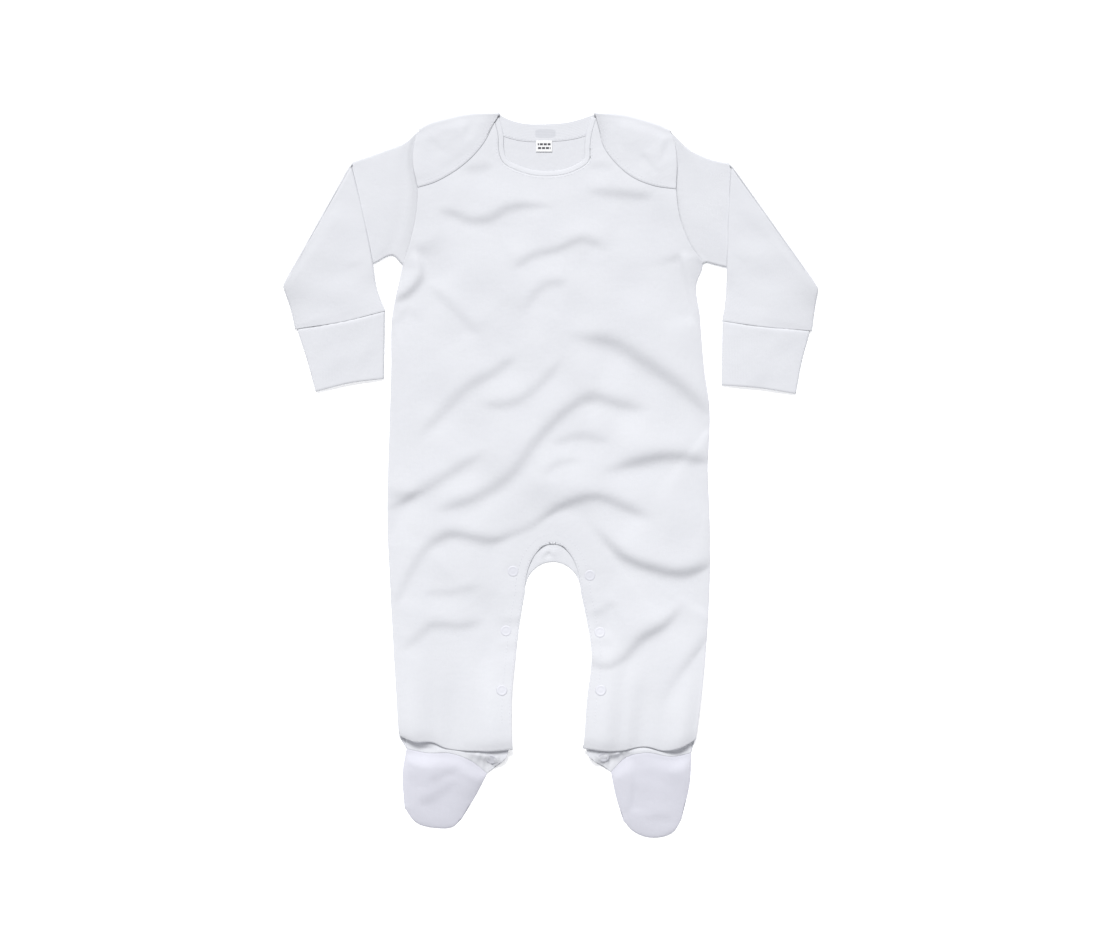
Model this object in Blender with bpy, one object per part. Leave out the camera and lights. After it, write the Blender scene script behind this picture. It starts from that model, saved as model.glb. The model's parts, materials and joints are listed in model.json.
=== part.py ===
"""Footed baby sleepsuit in white cotton, lying flat on its back with the front up.

Each piece is one a maker cuts and sews: a back panel whose shoulders fold over on to the front,
a front panel, two sleeves with long double cuffs, a bound front neck, an inside band at the back
neck with its size label, two bands along the inner legs with poppers, and an upper and a sole for
each foot.  Each piece is a closed wall of cloth, and pieces stay a small gap apart at the seams.

+X is to the viewer's right, +Y runs from the feet to the neck and +Z is up off the table.  The
tables are in millimetres.  "left" and "right" are as seen from above.
"""
import math
from collections import namedtuple

import bmesh
import bpy
import numpy as np
from mathutils import Vector

# ---------------------------------------------------------------- driving sizes, in millimetres
MM = 0.001               # one millimetre in Blender's metres
WALL = 1.2               # one cloth
DOUBLE = 1.8             # a doubled cloth: cuffs and neck binding
GAP = 0.3                # between two pieces at a seam
SLEEVE_GAP = 0.5         # between the sleeve and the panels, whose edges lean
LAYER = 1.7              # from the middle of one cloth to the middle of the cloth on it
Z_BACK = WALL / 2        # the middle of the cloth that rests on the table
Z_SECOND = Z_BACK + LAYER
Z_THIRD = Z_SECOND + LAYER
Z_FOURTH = Z_THIRD + LAYER
CROWN = 1.8              # how far the front stands off the back, away from its seams
CROWN_REACH = 14.0       # distance from a side seam over which it rises

BAND_WIDTH = 16.0        # inner leg bands
BAND_INSET = 0.5         # how far the front's band stops short of its opening
NECK_BAND_WIDTH = 15.0   # band inside the back neck
BINDING_WIDTH = 4.5      # binding of the front neck
LABEL_WIDTH = 15.0
LABEL_DROP = 8.0
LABEL_WALL = 0.5
POPPER_RADIUS = 4.6
POPPER_HEIGHT = 1.4
POPPER_TAPER = 0.82      # its top's radius over its foot's
POPPER_MARGIN = 2.0      # cloth looked at round a popper, to set it on the highest

SLEEVE_INNER_TURN = 1.2  # turn of the sleeve's front cloth where the sleeve is folded over
SLEEVE_OUTER_TURN = 3.2  # turn of its back cloth, outside the other
HEM_TURN = 2.0           # roll of trouser cloth that overhangs each ankle
TUCK_TURN = 1.15         # the turn back under that roll
TUCK_DEPTH = 8.0

CROTCH_FRONT = -58.5     # y of the top of the front's leg arch
CROTCH_BACK = -73.6      # y of the top of the back's leg arch
ARCH_FOOT = -98.0        # y where both arches run into the straight inner leg
ARMPIT = 174.5           # y of the first row that runs straight across
FRONT_HIP_ROW = 12.0     # how far below its crotch the front's body ends at the side seam
BACK_HIP_ROW = 8.0       # and the back's
BAND_END = -206.0        # y where the inner leg bands end, above the ankles
SEAM_TOP = 160.0         # y where the side seam starts to hold the front down
HEM_RISE = (-196.0, -226.0)     # y over which the trouser leg rises to its roll
NECK_RISE = (212.0, 236.0)      # y over which the front rises on to the band inside the back
CALM_RISE = (200.0, 225.0)      # y over which the folds die out below the neck
CROWN_END = (205.0, 232.0)      # y over which the crown dies out
BAND_SLOPE = (3.0, 34.0)        # where the front comes down off the leg bands, beyond their width
CREASE_SLOPE = 30.0      # distance beyond the leg bands over which folds reach their height
CROWN_SLOPE = 50.0       # distance from the leg opening at which the crown is whole
SHOULDER_STEP = 2.2      # how far the front's shoulder stops short of the fold over it
CORNER_POINTS = 4        # points of the shoulder line given up to the neck binding
OPENING_EASE = 0.6       # how far the back's leg edge stands clear of the band on it
GATHER = 4.0             # how far the tuck draws in at each end
SHIN_PUFF = 0.8          # lift of the cloth between the tuck and the foot
ARM_TAPER = 0.55         # share of the upper arm over which it comes down from the shoulder
ELBOW_RUN = (-3.0, 22.0)        # distance below the upper arm over which the forearm drops
ARM_PUFF = 1.0           # lift of the forearm's upper cloth
CUFF_LIFT = 0.5          # air inside a cuff, at its edges and again at its middle
CUFF_STEP = 0.2          # how far the cuff starts below the sleeve, beyond the gap
FOOT_LIFT = 0.8          # lift of a foot at the ankle seam
FOOT_PUFF = 4.0          # and how much more it has at its middle
FOOT_REACH = 9.0         # distance from the toe seam over which it rises
FOOT_RISE = 0.45         # share of the foot's length over which it rises

ANKLE_POPPER_LIFT = 1.2  # the ankle poppers sit on gathered cloth

# Finishes: colour and roughness.
WHITE = (0.86, 0.865, 0.89)
LABEL_WHITE = (0.93, 0.93, 0.93)
RESIN_WHITE = (0.85, 0.85, 0.87)
CLOTH_ROUGHNESS = 0.9
TRIM_ROUGHNESS = 0.92
LABEL_ROUGHNESS = 0.6
RESIN_ROUGHNESS = 0.35

# ---------------------------------------------------------------- tables of sections and edges
Section = namedtuple("Section", "place y left right")
Points = namedtuple("Points", "place left right")
Fold = namedtuple("Fold", "place x1 y1 x2 y2 bow width height")

SIDES = [
    Section("shoulder tip", 287.5, -110.2, 100.7),
    Section("sleeve head", 275.0, -114.2, 104.2),
    Section("sleeve head, lower", 260.0, -115.0, 105.8),
    Section("lap end", 238.0, -111.2, 105.2),
    Section("chest", 210.0, -113.6, 109.4),
    Section("underarm", 190.0, -118.4, 117.8),
    Section("armpit", 174.5, -123.8, 127.4),
    Section("below armpit", 160.0, -127.0, 122.4),
    Section("ribs", 133.0, -132.5, 125.0),
    Section("waist", 89.0, -133.4, 128.6),
    Section("belly", 54.0, -134.4, 133.2),
    Section("hip", 4.0, -136.0, 131.8),
    Section("seat", -33.0, -136.7, 133.2),
    Section("thigh", -92.0, -134.4, 133.4),
    Section("knee", -139.0, -131.8, 130.8),
    Section("calf", -183.0, -129.0, 126.6),
    Section("ankle", -220.0, -126.7, 121.8),
]

INNER_LEGS = [
    Section("arch foot", ARCH_FOOT, -21.3, 25.1),
    Section("upper leg", -122.0, -25.4, 30.2),
    Section("knee", -152.0, -29.0, 34.3),
    Section("calf", -186.0, -32.2, 30.8),
    Section("ankle", -229.0, -31.8, 27.4),
]

SHOULDER = [
    Points("tip", (-109.5, 287.2), (100.0, 286.2)),
    Points("puff", (-103.5, 290.6), (92.5, 289.6)),
    Points("slope", (-88.0, 295.4), (79.0, 294.2)),
    Points("middle", (-69.0, 299.6), (62.0, 298.6)),
    Points("neck corner", (-42.4, 300.9), (36.4, 301.1)),
]

BACK_NECK = [
    Points("neck corner", (-42.4, 300.9), (36.4, 301.1)),
    Points("corner foot", (-35.5, 297.3), (29.0, 298.6)),
    Points("slope", (-25.9, 294.3), (18.5, 295.4)),
    Points("middle", (-3.5, 293.2), (-3.5, 293.2)),
]

FRONT_NECK = [
    Points("neck corner", (-43.2, 298.5), (34.0, 299.0)),
    Points("strap", (-39.4, 284.0), (29.8, 284.0)),
    Points("strap foot", (-39.0, 272.0), (28.6, 272.0)),
    Points("turn", (-37.2, 264.8), (28.4, 264.4)),
    Points("scoop", (-25.4, 257.7), (19.4, 258.1)),
    Points("middle", (-3.0, 253.6), (-3.0, 253.6)),
]

LAP_EDGE = [
    Points("armhole", (-110.9, 239.5), (104.9, 238.2)),
    Points("low", (-98.2, 243.3), (88.2, 240.4)),
    Points("curve", (-83.2, 251.1), (68.1, 248.3)),
    Points("rise", (-68.1, 262.5), (55.9, 258.4)),
    Points("strap", (-55.8, 276.7), (45.0, 272.6)),
    Points("neck", (-47.2, 293.2), (39.0, 294.5)),
    Points("neck corner", (-43.6, 299.6), (37.5, 299.8)),
]

HEM = [
    Points("outer", (-126.2, -217.6), (121.6, -220.6)),
    Points("outer fold", (-112.5, -222.6), (108.0, -227.6)),
    Points("step", (-99.0, -223.2), (94.0, -230.4)),
    Points("middle", (-88.0, -228.4), (82.0, -227.6)),
    Points("inner", (-60.0, -230.4), (56.0, -230.4)),
    Points("corner", (-31.6, -228.6), (26.8, -227.6)),
]

ANKLE_SEAM = [
    Points("outer", (-120.6, -230.2), (118.0, -233.6)),
    Points("outer rise", (-104.9, -233.4), (104.0, -236.6)),
    Points("tongue", (-83.0, -233.8), (79.0, -233.2)),
    Points("inner fall", (-68.0, -239.2), (64.5, -236.6)),
    Points("inner", (-53.0, -250.8), (50.6, -249.6)),
]

FOOT_OUTER = [
    Points("ankle", (-120.6, -230.2), (118.0, -233.6)),
    Points("side", (-123.8, -250.0), (117.0, -256.0)),
    Points("toe", (-122.2, -279.5), (109.8, -289.0)),
]

FOOT_INNER = [
    Points("ankle", (-53.0, -250.8), (50.6, -249.6)),
    Points("side", (-62.2, -268.6), (54.6, -269.0)),
    Points("toe", (-74.6, -289.0), (61.0, -290.2)),
]

TOE = [
    Points("outer", (-122.2, -279.5), (109.8, -289.0)),
    Points("outer turn", (-113.0, -291.6), (103.0, -299.8)),
    Points("tip", (-95.0, -296.6), (84.0, -304.6)),
    Points("inner turn", (-81.5, -295.4), (69.5, -299.4)),
    Points("inner", (-74.6, -289.0), (61.0, -290.2)),
]

SLEEVE_TOP = [
    Points("armhole", (-111.4, 286.6), (101.8, 285.4)),
    Points("sleeve head", (-119.1, 279.0), (116.6, 271.5)),
    Points("upper arm", (-138.4, 270.7), (135.0, 263.2)),
    Points("fold", (-167.4, 260.4), (151.4, 259.8)),
]

SLEEVE_UNDER = [
    Points("armhole", (-124.2, 175.0), (127.8, 178.0)),
    Points("gather", (-131.0, 182.6), (135.9, 175.6)),
    Points("elbow", (-148.8, 175.6), (150.0, 172.2)),
    Points("fold", (-224.2, 158.6), (224.4, 156.8)),
]

FOREARM_INNER = [
    Points("fold", (-167.4, 260.4), (151.4, 259.8)),
    Points("upper", (-159.3, 229.1), (149.0, 222.0)),
    Points("elbow", (-149.0, 178.0), (147.6, 173.0)),
    Points("lower", (-145.0, 153.8), (147.0, 150.0)),
    Points("cuff", (-138.2, 136.2), (143.9, 127.8)),
]

FOREARM_OUTER = [
    Points("fold", (-224.2, 158.6), (224.4, 156.8)),
    Points("lower", (-217.2, 137.0), (221.2, 138.0)),
    Points("cuff", (-213.6, 121.0), (218.8, 119.6)),
]

CUFF_SEAM = [
    Points("inner", (-138.2, 136.2), (143.9, 127.8)),
    Points("middle", (-173.5, 127.2), (175.1, 123.2)),
    Points("outer", (-213.6, 121.0), (218.8, 119.6)),
]

CUFF_INNER = [
    Points("seam", (-138.9, 135.0), (144.4, 126.8)),
    Points("end", (-139.8, 79.6), (143.7, 74.2)),
]

CUFF_OUTER = [
    Points("seam", (-211.6, 120.2), (216.9, 118.6)),
    Points("middle", (-204.8, 99.5), (210.8, 97.0)),
    Points("end", (-196.2, 68.9), (205.0, 67.0)),
]

CUFF_END = [
    Points("inner", (-139.8, 79.6), (143.7, 74.2)),
    Points("middle", (-168.0, 76.0), (175.0, 71.8)),
    Points("outer", (-196.2, 68.9), (205.0, 67.0)),
]

# The largest folds of the front: an arc from point 1 to point 2 that bows to its left by "bow",
# with the width of its slope and the height of its crest.
FOLDS = [
    Fold("waist to right hip", 12, 116, 128, 58, 10, 9, 2.4),
    Fold("left waist, long", -4, 96, -108, 32, 6, 9, 1.6),
    Fold("middle to left thigh", 30, 66, -96, -30, 12, 10, 2.2),
    Fold("left hip", -62, 14, -134, -12, -5, 8, 2.6),
    Fold("right hip", 44, 0, 132, 12, -7, 8, 2.8),
    Fold("left thigh", 36, -18, -104, -62, 14, 9, 2.0),
    Fold("right thigh", 36, -42, 132, -76, -16, 9, 2.4),
    Fold("right knee", 34, -160, 108, -112, -10, 8, 2.2),
    Fold("right calf", 130, -142, 92, -202, 10, 8, 1.8),
]

POPPERS = [
    Points("crotch", (-31.3, -81.5), (33.0, -85.0)),
    Points("thigh", (-37.2, -131.3), (41.4, -132.5)),
    Points("knee", (-40.5, -180.6), (42.0, -180.6)),
    Points("ankle", (-49.5, -238.6), (44.5, -236.4)),
]

# Node counts of the grids.
COLUMNS = [0.0, 0.035, 0.10, 0.20, 0.32, 0.44, 0.56, 0.68, 0.80, 0.90, 1.0]
BACK_COLUMNS = [0.0, 0.06, 0.20, 0.36, 0.52, 0.68, 0.84, 1.0]
SHOULDER_COLUMNS = 4     # grid columns that end on the shoulder
SLEEVE_COLUMNS = [0.0, 0.04, 0.20, 0.40, 0.60, 0.80, 0.96, 1.0]
ARMHOLE_ROWS = [0.0, 0.04, 0.12, 0.20, 0.30, 0.40, 0.50, 0.60, 0.70, 0.80, 0.96, 1.0]
TURN_STEPS = 4           # facets round a turn of the cloth
FRONT_ROWS = 15          # rows from the chest to the hip
FRONT_LEG_ROWS = 12
SHIN_ROWS = 3
BACK_ROWS = 9
BACK_LEG_ROWS = 11
UPPER_ARM_ROWS = 6
FOREARM_ROWS = 8
CUFF_ROWS = 3
FOOT_ROWS = 6
BAND_SPANS = 36
BAND_ROWS = 2
ARCH_POINTS = 24


# ---------------------------------------------------------------- curves and grids of plan points
def curve(points, step=2.0):
    """A smooth line through plan points, as closely spaced points."""
    p = np.array(points, float)
    run = np.diff(p, axis=0)
    chord = np.hypot(run[:, 0], run[:, 1])
    slope = run / chord[:, None]
    middle = (slope[:-1] * chord[1:, None] + slope[1:] * chord[:-1, None])
    middle = middle / (chord[:-1] + chord[1:])[:, None]
    tangent = np.vstack([slope[:1], middle, slope[-1:]])
    spans = []
    for i, length in enumerate(chord):
        t = np.linspace(0.0, 1.0, max(2, int(length / step)), endpoint=False)[:, None]
        start = (2 * t**3 - 3 * t**2 + 1) * p[i] + (t**3 - 2 * t**2 + t) * length * tangent[i]
        end = (3 * t**2 - 2 * t**3) * p[i + 1] + (t**3 - t**2) * length * tangent[i + 1]
        spans.append(start + end)
    return np.vstack(spans + [p[-1:]])


def along(line, fractions):
    """Points at fractions of a line's length."""
    step = np.hypot(*np.diff(line, axis=0).T)
    length = np.concatenate([[0.0], np.cumsum(step)])
    at = np.array(fractions) * length[-1]
    return np.column_stack([np.interp(at, length, line[:, 0]), np.interp(at, length, line[:, 1])])


def even(count):
    """Fractions of "count" equal spans."""
    return np.linspace(0.0, 1.0, count + 1)


def patch(top, bottom, outer, inner):
    """Plan points between four edges that share their corners (a Coons patch)."""
    v = even(len(outer) - 1)[:, None, None]
    u = even(len(top) - 1)[None, :, None]
    ruled = (1 - v) * top[None] + v * bottom[None]
    across = (1 - u) * outer[:, None] + u * inner[:, None]
    corners = ((1 - u) * (1 - v) * top[0] + u * (1 - v) * top[-1]
               + (1 - u) * v * bottom[0] + u * v * bottom[-1])
    return ruled + across - corners


def edge(table, side):
    """The line of one side's column of a table."""
    return curve([getattr(row, side) for row in table])


def section_line(table, side, y_top, y_bottom):
    """The line of a table of sections between two heights."""
    line = curve([(getattr(row, side), row.y) for row in table])
    keep = (line[:, 1] < y_top - 0.01) & (line[:, 1] > y_bottom + 0.01)
    ends = [np.interp(-y, -line[:, 1], line[:, 0]) for y in (y_top, y_bottom)]
    return np.vstack([[ends[0], y_top], line[keep], [ends[1], y_bottom]])


def arch(side, crotch):
    """Half of a leg arch, from its top down to its foot: a quarter of an ellipse."""
    foot = INNER_LEGS[0]
    middle = (foot.left + foot.right) / 2
    half = (foot.right - foot.left) / 2 * (-1 if side == "left" else 1)
    angle = np.linspace(0.0, math.pi / 2, ARCH_POINTS)
    return np.column_stack([middle + half * np.sin(angle),
                            ARCH_FOOT + (crotch - ARCH_FOOT) * np.cos(angle)])


def inner_leg(side, crotch):
    """The inner leg edge, from the crotch to the ankle."""
    straight = section_line(INNER_LEGS, side, ARCH_FOOT, INNER_LEGS[-1].y)
    return np.vstack([arch(side, crotch), straight[1:]])


def distance(points, line):
    """Distance in plan from each point to a line."""
    p = np.asarray(points, float)
    best = np.full(p.shape[:-1], 1e9)
    for a, b in zip(line[:-1], line[1:]):
        run = b - a
        t = np.clip(((p - a) @ run) / max(run @ run, 1e-9), 0.0, 1.0)
        best = np.minimum(best, np.linalg.norm(p - a - t[..., None] * run, axis=-1))
    return best


def ramp(value, start, end):
    """0 at start, 1 at end, with soft ends."""
    t = np.clip((value - start) / (end - start), 0.0, 1.0)
    return t * t * (3 - 2 * t)


# ---------------------------------------------------------------- heights of the cloth
FRONT_LEGS = {side: inner_leg(side, CROTCH_FRONT) for side in ("left", "right")}
SIDE_SEAMS = {side: section_line(SIDES, side, SEAM_TOP, SIDES[-1].y) for side in ("left", "right")}


def fold_height(points):
    """Sum of the folds: a soft crest along each arc that fades at its ends."""
    total = np.zeros(points.shape[:-1])
    for fold in FOLDS:
        start = np.array([fold.x1, fold.y1], float)
        run = np.array([fold.x2, fold.y2], float) - start
        length = np.hypot(*run)
        ahead = run / length
        left = np.array([-ahead[1], ahead[0]])
        s = (points - start) @ ahead / length
        arc = fold.bow * 4 * s * (1 - s)
        aside = (points - start) @ left - arc
        fade = ramp(s, -0.06, 0.25) * (1 - ramp(s, 0.80, 1.06))
        total += fold.height * fade * np.exp(-(aside / fold.width)**2)
    return total


def front_height(points):
    """Middle of the front cloth above the table."""
    to_side = np.minimum(*[distance(points, SIDE_SEAMS[side]) for side in SIDE_SEAMS])
    to_leg = np.minimum(*[distance(points, FRONT_LEGS[side]) for side in FRONT_LEGS])
    y = points[..., 1]
    off_side = 1 - np.exp(-to_side / CROWN_REACH)
    off_bands = ramp(to_leg, BAND_WIDTH + BAND_SLOPE[0], BAND_WIDTH + BAND_SLOPE[1])
    over_bands = (1 - off_bands) * (2 * LAYER)
    over_neck = ramp(y, *NECK_RISE) * LAYER
    calm = off_side * ramp(to_leg, BAND_WIDTH, BAND_WIDTH + CREASE_SLOPE) * (1 - ramp(y, *CALM_RISE))
    crown = CROWN * off_side * (1 - ramp(y, *CROWN_END)) * ramp(to_leg, BAND_WIDTH, CROWN_SLOPE)
    return Z_SECOND + np.maximum(over_bands, crown + fold_height(points) * calm) + over_neck


def lap_height(points):
    """Middle of the shoulder lap, one layer above the front."""
    return front_height(points) + LAYER


# ---------------------------------------------------------------- making the solids
def clear_scene():
    for thing in list(bpy.data.objects):
        bpy.data.objects.remove(thing, do_unlink=True)


def finish_material(name, color, roughness):
    material = bpy.data.materials.new(name)
    material.use_nodes = True
    shader = material.node_tree.nodes["Principled BSDF"]
    shader.inputs["Base Color"].default_value = (*color, 1.0)
    shader.inputs["Roughness"].default_value = roughness
    shader.inputs["Metallic"].default_value = 0.0
    return material


def add_grid(bm, points):
    """Lay a grid of faces over rows of points."""
    rows, columns = points.shape[:2]
    made = bmesh.ops.create_grid(bm, x_segments=columns - 1, y_segments=rows - 1, size=1.0)
    ordered = sorted(made["verts"], key=lambda v: (round(v.co.y, 5), round(v.co.x, 5)))
    for vert, point in zip(ordered, points.reshape(-1, 3)):
        vert.co = Vector(point) * MM


def cloth(name, grids, color=WHITE, roughness=CLOTH_ROUGHNESS, wall=WALL):
    """One piece of cloth: its grids joined, and given a wall each way from their middle."""
    bm = bmesh.new()
    for points in grids:
        add_grid(bm, points)
    bmesh.ops.remove_doubles(bm, verts=bm.verts, dist=0.01 * MM)
    bmesh.ops.dissolve_degenerate(bm, edges=bm.edges, dist=0.02 * MM)
    bmesh.ops.recalc_face_normals(bm, faces=bm.faces)
    mesh = bpy.data.meshes.new(name)
    bm.to_mesh(mesh)
    bm.free()
    mesh.shade_smooth()
    piece = bpy.data.objects.new(name, mesh)
    bpy.context.scene.collection.objects.link(piece)
    mesh.materials.append(finish_material(name, color, roughness))
    wall_maker = piece.modifiers.new("wall", "SOLIDIFY")
    wall_maker.thickness = wall * MM
    wall_maker.offset = 0.0
    return piece


def raised(plan, height):
    """Plan points with a height for each."""
    tall = np.broadcast_to(height, plan.shape[:-1])
    return np.concatenate([plan, tall[..., None]], axis=-1)


def turn(row, z_low, z_high, outward):
    """Rows that carry a row of plan points round a half turn, from z_low up or down to z_high."""
    radius = abs(z_high - z_low) / 2
    angles = np.linspace(0.0, math.pi, TURN_STEPS + 1)[1:-1]
    rows = []
    for angle in angles:
        plan = row + outward * radius * math.sin(angle)
        z = (z_low + z_high) / 2 - (z_high - z_low) / 2 * math.cos(angle)
        rows.append(raised(plan, z))
    return np.stack(rows)


def outward_of(row, toward):
    """Unit normals in plan of a row of points, on the side that faces a direction."""
    run = np.gradient(row, axis=0)
    normal = np.column_stack([-run[:, 1], run[:, 0]])
    normal /= np.linalg.norm(normal, axis=1)[:, None]
    return normal * np.sign(normal @ np.array(toward))[:, None]


def beside(nodes, width, side):
    """Nodes moved sideways into the cloth, off an edge that runs from its corner to the middle."""
    run = np.diff(nodes, axis=0)
    run /= np.linalg.norm(run, axis=1)[:, None]
    last = np.array([[1.0 if side == "left" else -1.0, 0.0]])
    before, after = np.vstack([run[:1], run]), np.vstack([run, last])
    mitre = before + after
    mitre /= np.linalg.norm(mitre, axis=1)[:, None]
    stretch = 1 / np.maximum(np.sum(mitre * after, axis=1), 0.5)
    normal = np.column_stack([mitre[:, 1], -mitre[:, 0]]) * (1 if side == "left" else -1)
    normal *= stretch[:, None]
    normal[-1] = (0.0, -1.0)
    return nodes + normal * width


# ---------------------------------------------------------------- body
def armhole_line(side):
    """Where the sleeve is set in: straight between the nodes that sleeve and panels share."""
    line = section_line(SIDES, side, SHOULDER[0].left[1], ARMPIT)
    line[0] = getattr(SHOULDER[0], side)
    return along(line, SLEEVE_COLUMNS)


def half_neck(table, side):
    """Half of a neck line, from its corner to the middle, level where it meets its other half."""
    other = "right" if side == "left" else "left"
    whole = [getattr(row, side) for row in table] + [getattr(row, other) for row in table[-2::-1]]
    line = curve(whole)
    middle = np.argmin(np.linalg.norm(line - np.array(getattr(table[-1], side)), axis=1))
    return line[: middle + 1]


def front_neck_nodes(side):
    """Nodes of half of the front neck, corner to middle."""
    return along(half_neck(FRONT_NECK, side), even(len(COLUMNS) - 1 - SHOULDER_COLUMNS))


def front_top(side):
    """Nodes of the front's upper edge: shoulder, then half of the neck inside its binding."""
    neck = beside(front_neck_nodes(side), BINDING_WIDTH + GAP, side)
    shoulder = edge(SHOULDER, side) - [0.0, SHOULDER_STEP]
    shoulder = np.vstack([shoulder[:-CORNER_POINTS], neck[:1]])
    return np.vstack([along(shoulder, even(SHOULDER_COLUMNS)), neck[1:]])


def centre_at(y):
    """x of the centre line: it drifts a little from the neck to the crotch."""
    return np.interp(y, [CROTCH_FRONT, FRONT_NECK[-1].left[1]], [1.9, FRONT_NECK[-1].left[0]])


def row_between(outer, inner, columns):
    return outer + (np.array(inner) - outer) * np.array(columns)[:, None]


def front_grid(side):
    """Half of the front, from the shoulder to the seam with the foot."""
    top = front_top(side)
    armhole = along(armhole_line(side), ARMHOLE_ROWS)
    armhole[0] = top[0]
    chest = row_between(armhole[-1], (centre_at(ARMPIT), ARMPIT), COLUMNS)
    centre = along(np.array([top[-1], chest[-1]]), ARMHOLE_ROWS)
    upper = patch(top, chest, armhole, centre)

    seam = section_line(SIDES, side, ARMPIT, CROTCH_FRONT - FRONT_HIP_ROW)
    centre = np.array([chest[-1], (centre_at(CROTCH_FRONT), CROTCH_FRONT)])
    crotch = row_between(seam[-1], centre[-1], COLUMNS)
    middle = patch(chest, crotch, along(seam, even(FRONT_ROWS)), along(centre, even(FRONT_ROWS)))

    hem = along(edge(HEM, side), COLUMNS)
    outer = section_line(SIDES, side, CROTCH_FRONT - FRONT_HIP_ROW, SIDES[-1].y + 2.0)
    inner = FRONT_LEGS[side].copy()
    outer[-1], inner[-1] = hem[0], hem[-1]
    leg = patch(crotch, hem, along(outer, even(FRONT_LEG_ROWS)), along(inner, even(FRONT_LEG_ROWS)))
    plan = np.concatenate([upper, middle[1:], leg[1:]])
    z = front_height(plan)
    z_hem = Z_SECOND + 2 * TUCK_TURN + 2 * HEM_TURN
    rise = ramp(plan[..., 1], *HEM_RISE)
    body = raised(plan, z + (z_hem - z) * rise)
    body[-1, :, 2] = z_hem

    down = np.array([0.0, -1.0])
    z_tuck = z_hem - 2 * HEM_TURN
    roll = turn(hem, z_hem, z_tuck, np.broadcast_to(down, hem.shape))
    tuck = hem + [0.0, TUCK_DEPTH]
    tuck[:, 0] += np.linspace(GATHER, -GATHER, len(hem)) * (1 if side == "left" else -1)
    back_turn = turn(tuck, z_tuck, Z_SECOND, np.broadcast_to(-down, tuck.shape))
    ankle = along(edge(ANKLE_SEAM, side), COLUMNS) + [0.0, GAP]
    outer = along(np.array([tuck[0], ankle[0]]), even(SHIN_ROWS))
    below_hem = (tuck[-1][0], hem[-1][1] - HEM_TURN * 3)
    inner = along(curve([tuck[-1], below_hem, ankle[-1]]), even(SHIN_ROWS))
    shin = patch(tuck, ankle, outer, inner)
    lower = raised(shin, Z_SECOND)
    lift = np.sin(np.linspace(0, math.pi, len(COLUMNS)))[None] * even(SHIN_ROWS)[:, None]
    lower[..., 2] += lift * SHIN_PUFF
    return np.concatenate([body, roll, raised(hem, z_tuck)[None], raised(tuck, z_tuck)[None],
                           back_turn, lower])


def back_neck_nodes(side):
    """Nodes of half of the back neck, corner to middle."""
    return along(half_neck(BACK_NECK, side), even(len(BACK_COLUMNS) - 1 - SHOULDER_COLUMNS))


def back_top(side):
    """Nodes of the back's upper edge: fold of the shoulder, then half of the back neck."""
    shoulder = along(edge(SHOULDER, side), even(SHOULDER_COLUMNS))
    return np.vstack([shoulder, back_neck_nodes(side)[1:]])


def back_grid(side):
    """Half of the back, flat on the table."""
    columns = BACK_COLUMNS
    top = back_top(side)
    armhole = armhole_line(side)
    chest = row_between(armhole[-1], (centre_at(ARMPIT), ARMPIT), columns)
    centre = along(np.array([top[-1], chest[-1]]), SLEEVE_COLUMNS)
    upper = patch(top, chest, armhole, centre)

    seam = section_line(SIDES, side, ARMPIT, CROTCH_BACK - BACK_HIP_ROW)
    centre = np.array([chest[-1], (centre_at(CROTCH_FRONT), CROTCH_BACK + OPENING_EASE)])
    crotch = row_between(seam[-1], centre[-1], columns)
    middle = patch(chest, crotch, along(seam, even(BACK_ROWS)), along(centre, even(BACK_ROWS)))

    ankle = along(edge(ANKLE_SEAM, side), columns) + [0.0, GAP]
    outer = section_line(SIDES, side, CROTCH_BACK - BACK_HIP_ROW, SIDES[-1].y)
    outer = np.vstack([outer, ankle[:1]])
    inner = inner_leg(side, CROTCH_BACK + OPENING_EASE)
    ease = -OPENING_EASE if side == "left" else OPENING_EASE
    inner[:, 0] += ramp(inner[:, 1], CROTCH_BACK, ARCH_FOOT) * ease
    inner = np.vstack([inner, ankle[-1:]])
    leg = patch(crotch, ankle, along(outer, even(BACK_LEG_ROWS)), along(inner, even(BACK_LEG_ROWS)))
    return raised(np.concatenate([upper, middle[1:], leg[1:]]), Z_BACK)


def lap_grid(side):
    """The back's shoulder, carried round its fold and down over the front."""
    fold = along(edge(SHOULDER, side), even(SHOULDER_COLUMNS))
    hem = along(edge(LAP_EDGE, side), even(SHOULDER_COLUMNS))
    line = armhole_line(side)
    armhole = np.vstack([line[line[:, 1] > hem[0, 1] + 1.0], hem[:1]])
    neck = along(np.array([fold[-1], hem[-1]]), even(len(armhole) - 1))
    plan = patch(fold, hem, armhole, neck)
    z = lap_height(plan)
    normal = outward_of(fold, (0.0, 1.0))
    rounded = turn(fold, Z_BACK, float(z[0].mean()), normal)
    lap = raised(plan, z)
    lap[0, :, 2] = z[0].mean()
    return np.concatenate([raised(fold, Z_BACK)[None], rounded, lap])


# ---------------------------------------------------------------- sleeves and cuffs
def tube(low, high, low_z, high_z):
    """Rings of a flat tube: along its low cloth, round one edge, back along its high cloth."""
    middle = (low_z[:, :1] + high_z[:, :1]) / 2
    far = (low_z[:, -1:] + high_z[:, -1:]) / 2
    plan = np.concatenate([low[:, 1:-1], low[:, -1:], high[:, -2:0:-1], low[:, :1], low[:, 1:2]], 1)
    z = np.concatenate([low_z[:, 1:-1], far, high_z[:, -2:0:-1], middle, low_z[:, 1:2]], 1)
    return np.concatenate([plan, z[..., None]], axis=-1)


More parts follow.
